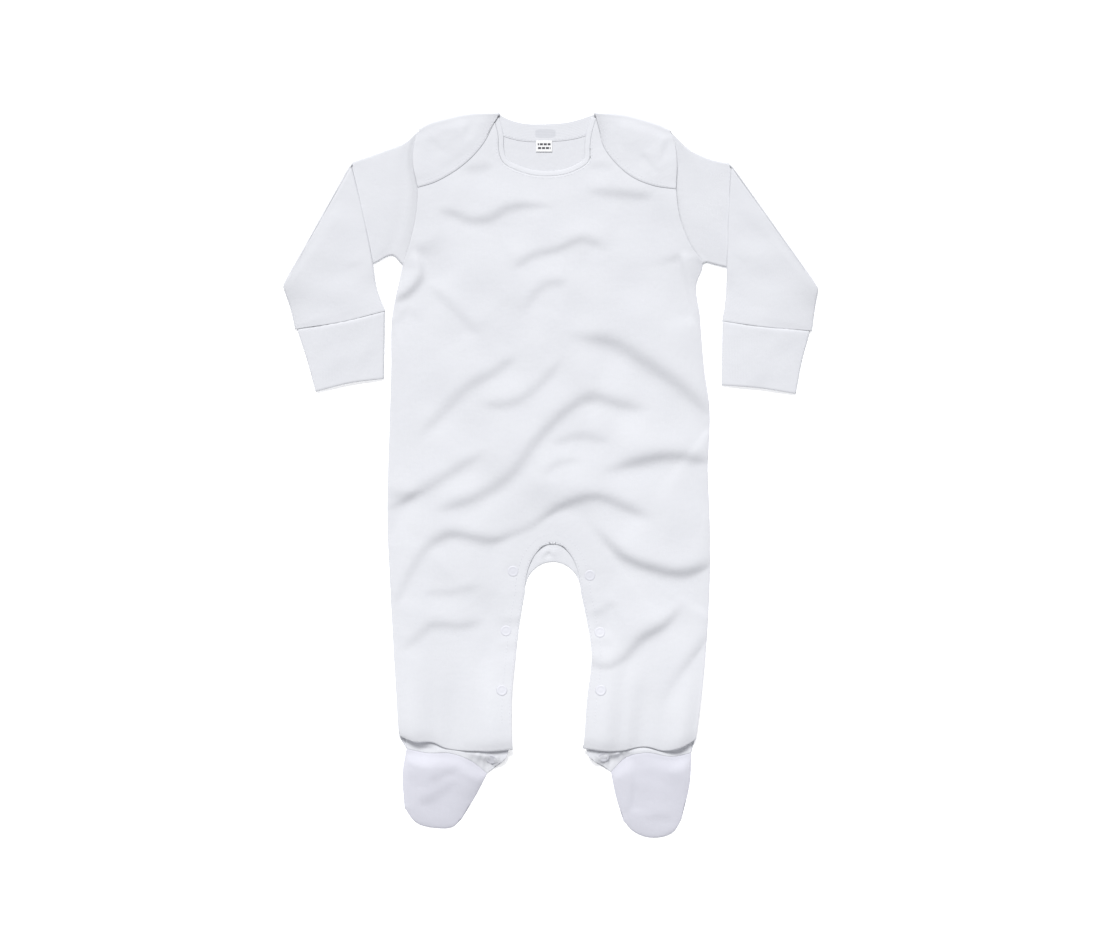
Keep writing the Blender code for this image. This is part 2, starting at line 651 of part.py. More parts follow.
def sleeve_rings(side):
    """A sleeve that runs out from the armhole and is folded over on itself, cuff down."""
    sign = -1 if side == "left" else 1
    top, under = edge(SLEEVE_TOP, side), edge(SLEEVE_UNDER, side)
    armhole = armhole_line(side) + [sign * SLEEVE_GAP, 0.0]
    run = (under[-1] - top[-1]) / np.linalg.norm(under[-1] - top[-1])
    inward = np.array([-run[1], run[0]]) * sign
    inward *= np.sign(inward @ np.array([-sign, 0.0]))
    ends = np.array([top[-1], under[-1]]) + inward * (SLEEVE_OUTER_TURN + WALL / 2)
    fold = row_between(ends[0], ends[1], SLEEVE_COLUMNS)
    far_x, far_y = under[-1]
    top[-1], under[-1] = fold[0], fold[-1]
    top[0], under[0] = armhole[0], armhole[-1]
    upper = patch(armhole, fold, along(top, even(UPPER_ARM_ROWS)), along(under, even(UPPER_ARM_ROWS)))

    seam = along(edge(CUFF_SEAM, side), SLEEVE_COLUMNS)
    inner, outer = edge(FOREARM_INNER, side), edge(FOREARM_OUTER, side)
    inner[0], outer[0] = fold[0], fold[-1]
    inner[-1], outer[-1] = seam[0], seam[-1]
    fore = patch(fold, seam, along(inner, even(FOREARM_ROWS)), along(outer, even(FOREARM_ROWS)))

    axis_z = Z_BACK + SLEEVE_OUTER_TURN
    beside_lap = upper[0, :, 1] > getattr(LAP_EDGE[0], side)[1]
    start_z = np.where(beside_lap, lap_height(upper[0]), front_height(upper[0]))
    start_z = np.clip(start_z, Z_SECOND, Z_FOURTH)
    near_fold = axis_z - SLEEVE_INNER_TURN
    high_z = near_fold + (start_z - near_fold) * (1 - ramp(even(UPPER_ARM_ROWS), 0, ARM_TAPER))[:, None]
    low_z = np.full(high_z.shape, Z_BACK)
    rings = [tube(upper, upper, low_z, high_z)]
    for angle in np.linspace(0.0, math.pi, TURN_STEPS + 2)[1:-1]:
        outer_turn = fold - inward * SLEEVE_OUTER_TURN * math.sin(angle)
        inner_turn = fold - inward * SLEEVE_INNER_TURN * math.sin(angle)
        edge_turn = fold - inward * (SLEEVE_INNER_TURN + SLEEVE_OUTER_TURN) / 2 * math.sin(angle)
        outer_turn[0], outer_turn[-1] = edge_turn[0], edge_turn[-1]
        z_outer = np.full(len(fold), axis_z - SLEEVE_OUTER_TURN * math.cos(angle))
        z_inner = np.full(len(fold), axis_z - SLEEVE_INNER_TURN * math.cos(angle))
        rings.append(tube(outer_turn[None], inner_turn[None], z_outer[None], z_inner[None]))

    elbow_x, elbow_y = getattr(SLEEVE_UNDER[2], side)
    under_arm = np.interp(fore[..., 0] * sign, [abs(elbow_x), abs(far_x)], [elbow_y, far_y])
    drop = ramp(under_arm - fore[..., 1], *ELBOW_RUN)
    level = axis_z - (axis_z + SLEEVE_INNER_TURN - Z_BACK) * drop
    puff = np.sin(np.linspace(0, math.pi, len(fold)))[None] * drop * ARM_PUFF
    near = level + SLEEVE_INNER_TURN
    far = level + SLEEVE_OUTER_TURN + puff
    rings.append(tube(fore, fore, far, near))
    return np.concatenate(rings)


def cuff_rings(side):
    """A long double cuff, open at its end."""
    seam = along(edge(CUFF_SEAM, side), SLEEVE_COLUMNS)
    inner, outer = edge(CUFF_INNER, side), edge(CUFF_OUTER, side)
    seam = seam - [0.0, GAP + CUFF_STEP]
    shift = row_between(inner[0] - seam[0], outer[0] - seam[-1], SLEEVE_COLUMNS)
    seam = seam + shift
    end = along(edge(CUFF_END, side), SLEEVE_COLUMNS)
    plan = patch(seam, end, along(inner, even(CUFF_ROWS)), along(outer, even(CUFF_ROWS)))
    low = np.full(plan.shape[:2], DOUBLE / 2)
    high = np.full(plan.shape[:2], DOUBLE * 1.5 + CUFF_LIFT)
    high += np.sin(np.linspace(0, math.pi, plan.shape[1]))[None] * CUFF_LIFT
    return tube(plan, plan, high, low)


# ---------------------------------------------------------------- feet
def foot_plan(side, columns):
    ankle = along(edge(ANKLE_SEAM, side), columns)
    toe = along(edge(TOE, side), columns)
    outer, inner = edge(FOOT_OUTER, side), edge(FOOT_INNER, side)
    return patch(ankle, toe, along(outer, even(FOOT_ROWS)), along(inner, even(FOOT_ROWS)))


def foot_upper(side):
    plan = foot_plan(side, COLUMNS)
    outline = np.vstack([edge(FOOT_OUTER, side), edge(TOE, side), edge(FOOT_INNER, side)[::-1]])
    puff = 1 - np.exp(-distance(plan, outline) / FOOT_REACH)
    down = ramp(even(FOOT_ROWS), 0.0, FOOT_RISE)[:, None]
    return raised(plan, Z_SECOND + puff * (FOOT_LIFT + FOOT_PUFF * down))


# ---------------------------------------------------------------- trims
def leg_band(crotch, z, inset):
    """A band of cloth round the leg opening, from one ankle over the crotch to the other."""
    left, right = inner_leg("left", crotch), inner_leg("right", crotch)
    line = np.vstack([left[::-1], right[1:]])
    nodes = along(line[line[:, 1] > BAND_END], even(BAND_SPANS))
    run = np.gradient(nodes, axis=0)
    normal = np.column_stack([-run[:, 1], run[:, 0]])
    normal /= np.linalg.norm(normal, axis=1)[:, None]
    steps = (inset + even(BAND_ROWS) * (BAND_WIDTH - inset))[None, :, None]
    return raised(nodes[:, None] + normal[:, None] * steps, z)


def neck_strips(nodes_of, width, z):
    """Two halves of a strip along a neck edge, from each corner to the middle."""
    halves = []
    for side in ("left", "right"):
        nodes = nodes_of(side)
        halves.append(raised(np.stack([nodes, beside(nodes, width, side)], axis=1), z))
    return halves


def label_grid():
    """A small size label that hangs from the band inside the back neck."""
    x, y = BACK_NECK[-1].left
    top = y - NECK_BAND_WIDTH - GAP
    columns = x + (even(1) - 0.5) * LABEL_WIDTH
    rows = top - LABEL_DROP * (1 - even(1))
    corners = np.stack(np.meshgrid(columns, rows), axis=-1)
    return raised(corners, WALL + GAP + LABEL_WALL / 2)


def popper(name, centre, z):
    """A low round cap on the face of the cloth."""
    bm = bmesh.new()
    made = bmesh.ops.create_cone(bm, cap_ends=True, cap_tris=False, segments=16,
                                 radius1=POPPER_RADIUS * MM, radius2=POPPER_RADIUS * POPPER_TAPER * MM,
                                 depth=POPPER_HEIGHT * MM)
    bmesh.ops.translate(bm, verts=made["verts"], vec=Vector((0, 0, POPPER_HEIGHT / 2 * MM)))
    mesh = bpy.data.meshes.new(name)
    bm.to_mesh(mesh)
    bm.free()
    mesh.shade_smooth()
    mesh.set_sharp_from_angle(angle=math.radians(40))
    cap = bpy.data.objects.new(name, mesh)
    cap.location = Vector((*centre, z)) * MM
    bpy.context.scene.collection.objects.link(cap)
    mesh.materials.append(finish_material(name, RESIN_WHITE, RESIN_ROUGHNESS))
    return cap


def popper_height(centre):
    """Underside of a cap: just above the highest cloth under it."""
    ring = [(math.cos(a), math.sin(a)) for a in np.linspace(0, 2 * math.pi, 13)]
    spots = np.array(centre) + np.vstack([[(0.0, 0.0)], ring]) * (POPPER_RADIUS + POPPER_MARGIN)
    return float(front_height(spots).max()) + WALL / 2 + GAP


# ---------------------------------------------------------------- the whole suit
def build():
    clear_scene()
    sides = ("left", "right")
    cloth("back_panel", [grid(side) for grid in (back_grid, lap_grid) for side in sides])
    cloth("front_panel", [front_grid(side) for side in sides])
    for side in sides:
        cloth(f"sleeve_{side}", [sleeve_rings(side)])
        cloth(f"cuff_{side}", [cuff_rings(side)], WHITE, TRIM_ROUGHNESS, DOUBLE)
        cloth(f"foot_upper_{side}", [foot_upper(side)])
        cloth(f"foot_sole_{side}", [raised(foot_plan(side, BACK_COLUMNS), Z_BACK)])
    cloth("back_leg_band", [leg_band(CROTCH_BACK, Z_SECOND, 0.0)])
    cloth("front_leg_band", [leg_band(CROTCH_FRONT, Z_THIRD, BAND_INSET)])
    cloth("front_neck_binding", neck_strips(front_neck_nodes, BINDING_WIDTH, Z_THIRD), WHITE, TRIM_ROUGHNESS)
    cloth("back_neck_band", neck_strips(back_neck_nodes, NECK_BAND_WIDTH, Z_SECOND), WHITE, TRIM_ROUGHNESS)
    cloth("neck_label", [label_grid()], LABEL_WHITE, LABEL_ROUGHNESS, LABEL_WALL)
    for row in POPPERS:
        for side in sides:
            centre = getattr(row, side)
            z = popper_height(centre)
            if row.place == "ankle":
                z = Z_SECOND + WALL + ANKLE_POPPER_LIFT
            popper(f"popper_{row.place}_{side}", centre, z)


build()
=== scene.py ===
# %% [markdown]
# # A footed baby sleepsuit, laid flat
#
# The real suit is sewn from soft white knitted cotton.  It lies on its back on a table with its
# front up, so every piece is a thin sheet that rests on the one below it.  Cloth like this could be
# dropped and simulated, but a laid garment keeps the creases that hands left in it, so each sheet is
# shaped here: a grid that follows the cut of the piece, lifted where the cloth stands off
# the table and pulled into soft crests and troughs where it is creased.  Solidify then gives the
# sheet its wall.

import json
import math
from collections import namedtuple

import bmesh
import bpy
import numpy as np
from mathutils import Matrix, Vector
from mathutils.bvhtree import BVHTree

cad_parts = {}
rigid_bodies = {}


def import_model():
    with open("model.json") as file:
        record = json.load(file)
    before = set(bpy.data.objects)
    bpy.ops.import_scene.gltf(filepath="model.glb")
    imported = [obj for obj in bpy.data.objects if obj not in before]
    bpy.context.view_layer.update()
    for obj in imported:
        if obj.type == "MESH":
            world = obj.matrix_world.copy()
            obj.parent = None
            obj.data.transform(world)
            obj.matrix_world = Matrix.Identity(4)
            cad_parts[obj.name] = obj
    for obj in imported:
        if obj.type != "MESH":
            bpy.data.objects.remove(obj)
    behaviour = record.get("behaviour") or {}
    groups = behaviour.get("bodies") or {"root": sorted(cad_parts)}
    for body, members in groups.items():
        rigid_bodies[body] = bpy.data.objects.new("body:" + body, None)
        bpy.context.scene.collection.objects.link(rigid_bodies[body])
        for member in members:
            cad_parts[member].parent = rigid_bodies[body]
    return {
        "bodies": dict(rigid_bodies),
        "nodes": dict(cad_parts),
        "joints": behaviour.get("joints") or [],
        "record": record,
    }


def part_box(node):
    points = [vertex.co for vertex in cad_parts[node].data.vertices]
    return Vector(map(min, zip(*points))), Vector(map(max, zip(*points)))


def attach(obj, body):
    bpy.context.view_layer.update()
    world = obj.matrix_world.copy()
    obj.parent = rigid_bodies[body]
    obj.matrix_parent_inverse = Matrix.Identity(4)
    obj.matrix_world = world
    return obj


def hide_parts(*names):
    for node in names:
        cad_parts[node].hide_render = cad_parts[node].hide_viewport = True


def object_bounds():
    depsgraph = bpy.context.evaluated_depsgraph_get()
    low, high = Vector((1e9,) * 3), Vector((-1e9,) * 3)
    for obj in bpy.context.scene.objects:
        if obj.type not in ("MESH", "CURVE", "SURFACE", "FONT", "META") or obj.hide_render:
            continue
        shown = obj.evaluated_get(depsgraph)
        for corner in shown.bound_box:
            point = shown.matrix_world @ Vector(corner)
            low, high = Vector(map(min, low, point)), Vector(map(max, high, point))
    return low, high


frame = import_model()
cad_low, cad_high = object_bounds()
cad_middle = (cad_low + cad_high) / 2
print("frame:", len(frame["nodes"]), "nodes,", [round(v, 4) for v in cad_high - cad_low], "m")

# %% [markdown]
# ## Camera, table and light
#
# The suit is seen from straight above.  A long lens from two metres away keeps its outline free of
# perspective.  An area lamp close to the table would leave a gradient across it, so the key is a sun
# lamp, which lights every spot alike.  A wide angle makes its shadows soft.  It leans in from beyond
# the neck, so that the side of a crease that faces the feet falls into shade, and a bright even room
# fills the rest.

# %% Camera
MM = 0.001                    # one millimetre in metres
VIEW_WIDTH = 919.6 * MM       # what the camera takes in across the table
LENS = 85.0
SENSOR = 36.0
AIM = Vector((-0.8 * MM, 3.5 * MM, 0.0))
NEAR, FAR = 0.05, 50.0        # what the camera draws, in metres

camera_data = bpy.data.cameras.new("camera")
camera_data.lens = LENS
camera_data.sensor_width = SENSOR
camera_data.clip_start = NEAR
camera_data.clip_end = FAR
camera = bpy.data.objects.new("camera", camera_data)
bpy.context.scene.collection.objects.link(camera)
camera.location = cad_middle + AIM + Vector((0, 0, VIEW_WIDTH * LENS / SENSOR))
bpy.context.scene.camera = camera
print("camera stands", round(camera.location.z, 3), "m above the table")

# %% Light
KEY_STRENGTH = 3.0            # watts on a square metre that faces the light
KEY_SPREAD = math.radians(22.0)
KEY_HEIGHT = math.radians(50.0)
KEY_SIDE = math.radians(-10.0)
ROOM_LIGHT = 0.43
ROOM_COLOR = (0.94, 0.95, 1.0, 1.0)

key_data = bpy.data.lights.new("key", "SUN")
key_data.energy = KEY_STRENGTH
key_data.angle = KEY_SPREAD
key = bpy.data.objects.new("key", key_data)
bpy.context.scene.collection.objects.link(key)
toward = Vector((math.sin(KEY_SIDE) * math.cos(KEY_HEIGHT), math.cos(KEY_SIDE) * math.cos(KEY_HEIGHT),
                 math.sin(KEY_HEIGHT)))
key.location = cad_middle + toward
key.rotation_euler = toward.to_track_quat("Z", "Y").to_euler()

world = bpy.data.worlds.new("room")
world.use_nodes = True
room = world.node_tree.nodes["Background"]
room.inputs["Color"].default_value = ROOM_COLOR
room.inputs["Strength"].default_value = ROOM_LIGHT
bpy.context.scene.world = world
bpy.context.scene.view_settings.view_transform = "Standard"
print("key light", round(math.degrees(KEY_HEIGHT)), "degrees above the table")

# %% [markdown]
# ## Shader maths
#
# A material is a chain of small sums, so a wrapper round a node's output makes those sums read like
# ordinary maths.  Numbers go through Math nodes.  Colours are mixed with Mix nodes, because a Math
# node would turn them grey.  One function makes every node: it sets the node's own settings first,
# and then gives each of its inputs a link or a plain value.

# %% A socket that can be added and multiplied


def feed(tree, slot, value):
    """Give an input socket a link or a plain value."""
    if isinstance(value, Link):
        tree.links.new(value.socket, slot)
    else:
        slot.default_value = value


def make(tree, kind, settings, values):
    """Any node.  The keys of values are names or numbers of its inputs."""
    made = tree.nodes.new(kind)
    for key, value in settings.items():
        setattr(made, key, value)
    for key, value in values.items():
        feed(tree, made.inputs[key], value)
    return made


class Link:
    """An output socket of a material's node tree."""

    def __init__(self, tree, socket):
        self.tree = tree
        self.socket = socket

    def math(self, operation, *values):
        made = make(self.tree, "ShaderNodeMath", {"operation": operation}, dict(enumerate(values)))
        return Link(self.tree, made.outputs[0])

    def __add__(self, other):
        return self.math("ADD", self, other)

    def __radd__(self, other):
        return self.math("ADD", other, self)

    def __sub__(self, other):
        return self.math("SUBTRACT", self, other)

    def __rsub__(self, other):
        return self.math("SUBTRACT", other, self)

    def __mul__(self, other):
        return self.math("MULTIPLY", self, other)

    def __rmul__(self, other):
        return self.math("MULTIPLY", other, self)

    def __truediv__(self, other):
        return self.math("DIVIDE", self, other)

    def __pow__(self, other):
        return self.math("POWER", self, other)

    def sine(self):
        return self.math("SINE", self)

    def fraction(self):
        return self.math("FRACT", self)

    def size(self):
        return self.math("ABSOLUTE", self)

    def step(self, start, end):
        """0 below start and 1 above end, with soft ends."""
        made = make(self.tree, "ShaderNodeMapRange", {"interpolation_type": "SMOOTHSTEP"},
                    {"Value": self, "From Min": start, "From Max": end})
        return Link(self.tree, made.outputs["Result"])


class Finish:
    """A material and the nodes that are added to it."""

    def __init__(self, name, color, roughness, **uniform):
        self.material = bpy.data.materials.new(name)
        self.material.use_nodes = True
        self.tree = self.material.node_tree
        self.shader = self.tree.nodes["Principled BSDF"]
        self.set("Base Color", (*color, 1.0))
        self.set("Roughness", roughness)
        for socket, value in uniform.items():
            self.set(socket.replace("_", " "), value)

    def set(self, socket, value):
        feed(self.tree, self.shader.inputs[socket], value)

    def node(self, kind, settings=None, output=0, **values):
        """A node whose inputs are given as keywords, and one of its outputs."""
        values = {key.replace("_", " "): value for key, value in values.items()}
        made = make(self.tree, kind, settings or {}, values)
        return Link(self.tree, made.outputs[output])

    def mix(self, share, first, second):
        """A colour from the first, at a share of 0, to the second, at 1."""
        made = make(self.tree, "ShaderNodeMix", {"data_type": "RGBA"}, {0: share, 6: first, 7: second})
        return Link(self.tree, made.outputs[2])

    def parts(self, vector):
        """The three numbers of a vector."""
        made = make(self.tree, "ShaderNodeSeparateXYZ", {}, {0: vector})
        return [Link(self.tree, out) for out in made.outputs]

    def bump(self, height, depth):
        """Relief of the surface: height from 0 to 1, and its depth in metres."""
        self.set("Normal", self.node("ShaderNodeBump", Strength=1.0, Distance=depth, Height=height))


print("socket maths ready")

# %% [markdown]
# ## White knitted cotton
#
# Jersey is columns of little Vs, the wales, about one millimetre apart.  The pattern follows each
# piece's own flat cut, so it is drawn on the UV map, which holds real metres across and along the
# cloth.  The hollows between the stitches are darkened in the colour: painted shade.  Above the
# stitches sits a faint unevenness from washing.  Cotton has almost no shine but its loose fibres
# catch light at a glancing angle, which is what sheen is for.  The feet lie lower, in the shade of
# the rolled legs, and that shade is painted in: they get a darker, bluer tint of the same knit.

# %% Cotton
WALE = 1.0 * MM
COURSE = 0.8 * MM
COTTON = (0.742, 0.75, 0.776)
COTTON_DEEP = (0.698, 0.706, 0.74)
KNIT_DEPTH = 0.35 * MM   # relief of the stitches and their fuzz
WASH_SCALE = 160.0       # noise per metre: the fuzz
CLOUD_SCALE = 24.0       # and the slow unevenness of the colour


def knit(name, wale, color, deep):
    """A knitted finish with columns of Vs, on the piece's own flat cut."""
    finish = Finish(name, color, 0.92, Sheen_Weight=0.18, Sheen_Roughness=0.5, Specular_IOR_Level=0.2)
    cut = finish.node("ShaderNodeUVMap", {"uv_map": "cut"})
    across, along_cloth, _ = finish.parts(cut)
    column = across / wale
    lean = (column.fraction() - 0.5).size()
    legs = (column * math.pi).sine().size() ** 0.6
    rows = ((along_cloth / COURSE + lean) * (2 * math.pi)).sine()
    stitch = legs * (0.65 + 0.35 * rows)
    place = finish.node("ShaderNodeTexCoord", output=3)
    wash = finish.node("ShaderNodeTexNoise", Vector=place, Scale=WASH_SCALE, Detail=3.0, Roughness=0.6)
    cloud = finish.node("ShaderNodeTexNoise", Vector=place, Scale=CLOUD_SCALE, Detail=2.0)
    finish.bump(stitch * 0.3 + wash * 0.7, KNIT_DEPTH)
    # the cloud is the cloth's own uneven tone; the darkening between the stitches, (1 - stitch), is
    # painted shade
    shade = cloud.step(0.3, 0.7) * 0.25 + (1 - stitch) * 0.18
    finish.set("Base Color", finish.mix(shade, (*color, 1.0), (*deep, 1.0)))
    finish.set("Roughness", 0.88 + 0.08 * stitch)
    return finish


# the feet's darker, bluer tint is painted shade: they lie lower, in the shade of the rolled legs
SHADED_FOOT_COTTON = (0.675, 0.675, 0.733)
SHADED_FOOT_DEEP = (0.635, 0.635, 0.70)
RIB = WALE * 1.3         # cuffs and bands are ribbed, with wider columns
cotton = knit("cotton", WALE, COTTON, COTTON_DEEP)
shaded_foot_cotton = knit("cotton_foot_painted_shade", WALE, SHADED_FOOT_COTTON, SHADED_FOOT_DEEP)
trim = knit("cotton_trim", RIB, COTTON, COTTON_DEEP)
print("cotton and trim ready")

# %% [markdown]
# ## Sizes and the layers of cloth
#
# Every piece rests on the one below it, so all heights are counted in layers of cloth from the table,
# which is where the frame puts the soles.  The back and the soles are the first layer.  The front,
# and the upper side of the feet, are the second.  Round the neck the front climbs to the third, and
# the shoulder laps are the fourth.  Heights are those of the middle of a cloth.

# %% Layers, in millimetres
WALL = 0.6               # one cloth
DOUBLE = 1.0             # a doubled cloth
AIR = 0.08               # between two cloths that lie on each other
table_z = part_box("foot_sole_left")[0].z / MM
LAYER = WALL + AIR
Z_BACK = table_z + AIR + WALL / 2
Z_SECOND = Z_BACK + LAYER
Z_THIRD = Z_SECOND + LAYER
CROWN = 4.6              # how far the front stands off the back
CROWN_REACH = 15.0       # distance from a seam over which it rises
BAND_WIDTH = 16.0
BAND_WALL = 0.4
OVER_BANDS = 2 * (BAND_WALL + AIR)      # what the two leg bands lift the front by
NECK_BAND_WIDTH = 15.0
BINDING_WIDTH = 4.5
print("layers at", [round(z, 2) for z in (Z_BACK, Z_SECOND, Z_THIRD, Z_THIRD + LAYER)], "mm")

# %% [markdown]
# ## The cut
#
# Each edge of the cut is a short list of points in millimetres, as a pattern maker marks them out,
# and a smooth line runs through them.  "left" and "right" are as seen from above.

# %% Edges of the cut, in millimetres
Section = namedtuple("Section", "place y left right")
Points = namedtuple("Points", "place left right")

SIDES = [
    Section("shoulder tip", 287.5, -110.2, 100.7),
    Section("sleeve head", 275.0, -114.2, 104.2),
    Section("sleeve head, lower", 260.0, -115.0, 105.8),
    Section("lap end", 238.0, -111.2, 105.2),
    Section("chest", 210.0, -113.6, 109.4),
    Section("underarm", 190.0, -118.4, 117.8),
    Section("armpit", 174.5, -123.8, 127.4),
    Section("below armpit", 160.0, -127.0, 122.4),
    Section("ribs", 133.0, -132.5, 125.0),
    Section("waist", 89.0, -133.4, 128.6),
    Section("belly", 54.0, -134.4, 133.2),
    Section("hip", 4.0, -136.0, 131.8),
    Section("seat", -33.0, -136.7, 133.2),
    Section("thigh", -92.0, -134.4, 133.4),
    Section("knee", -139.0, -131.8, 130.8),
    Section("calf", -183.0, -129.0, 126.6),
    Section("ankle", -220.0, -126.7, 121.8),
]
ARCH_FOOT = -98.0
CROTCH_FRONT = -58.5
CROTCH_BACK = -73.6
ARMPIT = 174.5
INNER_LEGS = [
    Section("arch foot", ARCH_FOOT, -21.3, 25.1),
    Section("upper leg", -122.0, -25.4, 30.2),
    Section("knee", -152.0, -29.0, 34.3),
    Section("calf", -186.0, -32.2, 30.8),
    Section("ankle", -229.0, -31.8, 27.4),
]
SHOULDER = [
    Points("tip", (-109.5, 287.2), (100.0, 286.2)),
    Points("puff", (-103.5, 290.6), (92.5, 289.6)),
    Points("slope", (-88.0, 295.4), (79.0, 294.2)),
    Points("middle", (-69.0, 299.6), (62.0, 298.6)),
    Points("neck corner", (-42.4, 300.9), (36.4, 301.1)),
]
BACK_NECK = [
    Points("neck corner", (-42.4, 300.9), (36.4, 301.1)),
    Points("corner foot", (-35.5, 297.3), (29.0, 298.6)),
    Points("slope", (-25.9, 294.3), (18.5, 295.4)),
    Points("middle", (-3.5, 293.2), (-3.5, 293.2)),
]
FRONT_NECK = [
    Points("neck corner", (-43.2, 298.5), (34.0, 299.0)),
    Points("strap", (-39.4, 284.0), (29.8, 284.0)),
    Points("strap foot", (-39.0, 272.0), (28.6, 272.0)),
    Points("turn", (-37.2, 264.8), (28.4, 264.4)),
    Points("scoop", (-25.4, 257.7), (19.4, 258.1)),
    Points("middle", (-3.0, 253.6), (-3.0, 253.6)),
]
LAP_EDGE = [
    Points("armhole", (-110.9, 239.5), (104.9, 238.2)),
    Points("low", (-98.2, 243.3), (88.2, 240.4)),
    Points("curve", (-83.2, 251.1), (68.1, 248.3)),
    Points("rise", (-68.1, 262.5), (55.9, 258.4)),
    Points("strap", (-55.8, 276.7), (45.0, 272.6)),
    Points("neck", (-47.2, 293.2), (39.0, 294.5)),
    Points("neck corner", (-43.6, 299.6), (37.5, 299.8)),
]
HEM = [
    Points("outer", (-126.2, -217.6), (121.6, -220.6)),
    Points("outer fold", (-112.5, -222.6), (108.0, -227.6)),
    Points("step", (-99.0, -223.2), (94.0, -230.4)),
    Points("middle", (-88.0, -228.4), (82.0, -227.6)),
    Points("inner", (-60.0, -230.4), (56.0, -230.4)),
    Points("corner", (-31.6, -228.6), (26.8, -227.6)),
]
ANKLE_SEAM = [
    Points("outer", (-120.6, -230.2), (118.0, -233.6)),
    Points("outer rise", (-104.9, -233.4), (104.0, -236.6)),
    Points("tongue", (-83.0, -233.8), (79.0, -233.2)),
    Points("inner fall", (-68.0, -239.2), (64.5, -236.6)),
    Points("inner", (-53.0, -250.8), (50.6, -249.6)),
]
FOOT_OUTER = [
    Points("ankle", (-120.6, -230.2), (118.0, -233.6)),
    Points("side", (-123.8, -250.0), (117.0, -256.0)),
    Points("toe", (-122.2, -279.5), (109.8, -289.0)),
]
FOOT_INNER = [
    Points("ankle", (-53.0, -250.8), (50.6, -249.6)),
    Points("side", (-62.2, -268.6), (54.6, -269.0)),
    Points("toe", (-74.6, -289.0), (61.0, -290.2)),
]
TOE = [
    Points("outer", (-122.2, -279.5), (109.8, -289.0)),
    Points("outer turn", (-113.0, -291.6), (103.0, -299.8)),
    Points("tip", (-95.0, -296.6), (84.0, -304.6)),
    Points("inner turn", (-81.5, -295.4), (69.5, -299.4)),
    Points("inner", (-74.6, -289.0), (61.0, -290.2)),
]
SLEEVE_TOP = [
    Points("armhole", (-111.4, 286.6), (101.8, 285.4)),
    Points("sleeve head", (-119.1, 279.0), (116.6, 271.5)),
    Points("upper arm", (-138.4, 270.7), (135.0, 263.2)),
    Points("fold", (-167.4, 260.4), (151.4, 259.8)),
]
SLEEVE_UNDER = [
    Points("armhole", (-124.2, 175.0), (127.8, 178.0)),
    Points("gather", (-131.0, 182.6), (135.9, 175.6)),
    Points("elbow", (-148.8, 175.6), (150.0, 172.2)),
    Points("fold", (-224.2, 158.6), (224.4, 156.8)),
]
FOREARM_INNER = [
    Points("fold", (-167.4, 260.4), (151.4, 259.8)),
    Points("upper", (-159.3, 229.1), (149.0, 222.0)),
    Points("elbow", (-149.0, 178.0), (147.6, 173.0)),
    Points("lower", (-145.0, 153.8), (147.0, 150.0)),
    Points("cuff", (-138.2, 136.2), (143.9, 127.8)),
]
FOREARM_OUTER = [
    Points("fold", (-224.2, 158.6), (224.4, 156.8)),
    Points("lower", (-217.2, 137.0), (221.2, 138.0)),
    Points("cuff", (-213.6, 121.0), (218.8, 119.6)),
]
CUFF_SEAM = [
    Points("inner", (-138.2, 136.2), (143.9, 127.8)),
    Points("middle", (-173.5, 127.2), (175.1, 123.2)),
    Points("outer", (-213.6, 121.0), (218.8, 119.6)),
]
CUFF_INNER = [
    Points("seam", (-138.9, 135.0), (144.4, 126.8)),
    Points("end", (-139.8, 79.6), (143.7, 74.2)),
]
CUFF_OUTER = [
    Points("seam", (-211.6, 120.2), (216.9, 118.6)),
    Points("middle", (-204.8, 99.5), (210.8, 97.0)),
    Points("end", (-196.2, 68.9), (205.0, 67.0)),
]
CUFF_END = [
    Points("inner", (-139.8, 79.6), (143.7, 74.2)),
    Points("middle", (-168.0, 76.0), (175.0, 71.8)),
    Points("outer", (-196.2, 68.9), (205.0, 67.0)),
]
POPPERS = [
    Points("crotch", (-31.3, -81.5), (33.0, -85.0)),
    Points("thigh", (-37.2, -131.3), (41.4, -132.5)),
    Points("knee", (-40.5, -180.6), (42.0, -180.6)),
    Points("ankle", (-49.5, -238.6), (44.5, -236.4)),
]
print("cut laid out")

# %% [markdown]
# ## Lines and grids
#
# Four edges that share their corners enclose a patch of cloth.  Blending the two pairs of opposite
# edges fills it with a grid whose rows and columns follow the cut, which is what a knit does too.

# %% Helpers for lines and grids


def curve(points, step=2.0):
    """A smooth line through plan points, as closely spaced points."""
    p = np.array(points, float)
    run = np.diff(p, axis=0)
    chord = np.hypot(run[:, 0], run[:, 1])
    slope = run / chord[:, None]
    middle = (slope[:-1] * chord[1:, None] + slope[1:] * chord[:-1, None])
    middle = middle / (chord[:-1] + chord[1:])[:, None]
    tangent = np.vstack([slope[:1], middle, slope[-1:]])
    spans = []
    for i, length in enumerate(chord):
        t = np.linspace(0.0, 1.0, max(2, int(length / step)), endpoint=False)[:, None]
        start = (2 * t**3 - 3 * t**2 + 1) * p[i] + (t**3 - 2 * t**2 + t) * length * tangent[i]
        end = (3 * t**2 - 2 * t**3) * p[i + 1] + (t**3 - t**2) * length * tangent[i + 1]
        spans.append(start + end)
    return np.vstack(spans + [p[-1:]])


def lengths(line):
    """Distance run at each point of a line."""
    step = np.linalg.norm(np.diff(line, axis=0), axis=1)
    return np.concatenate([[0.0], np.cumsum(step)])


def along(line, fractions):
    """Points at fractions of a line's length."""
    run = lengths(line)
    at = np.array(fractions) * run[-1]
    return np.column_stack([np.interp(at, run, line[:, axis]) for axis in range(line.shape[1])])


def even(count):
    return np.linspace(0.0, 1.0, count + 1)


def closer(count, pull=0.55):
    """Fractions that lie closer together near both ends."""
    t = even(count)
    return t - pull * np.sin(2 * math.pi * t) / (2 * math.pi)


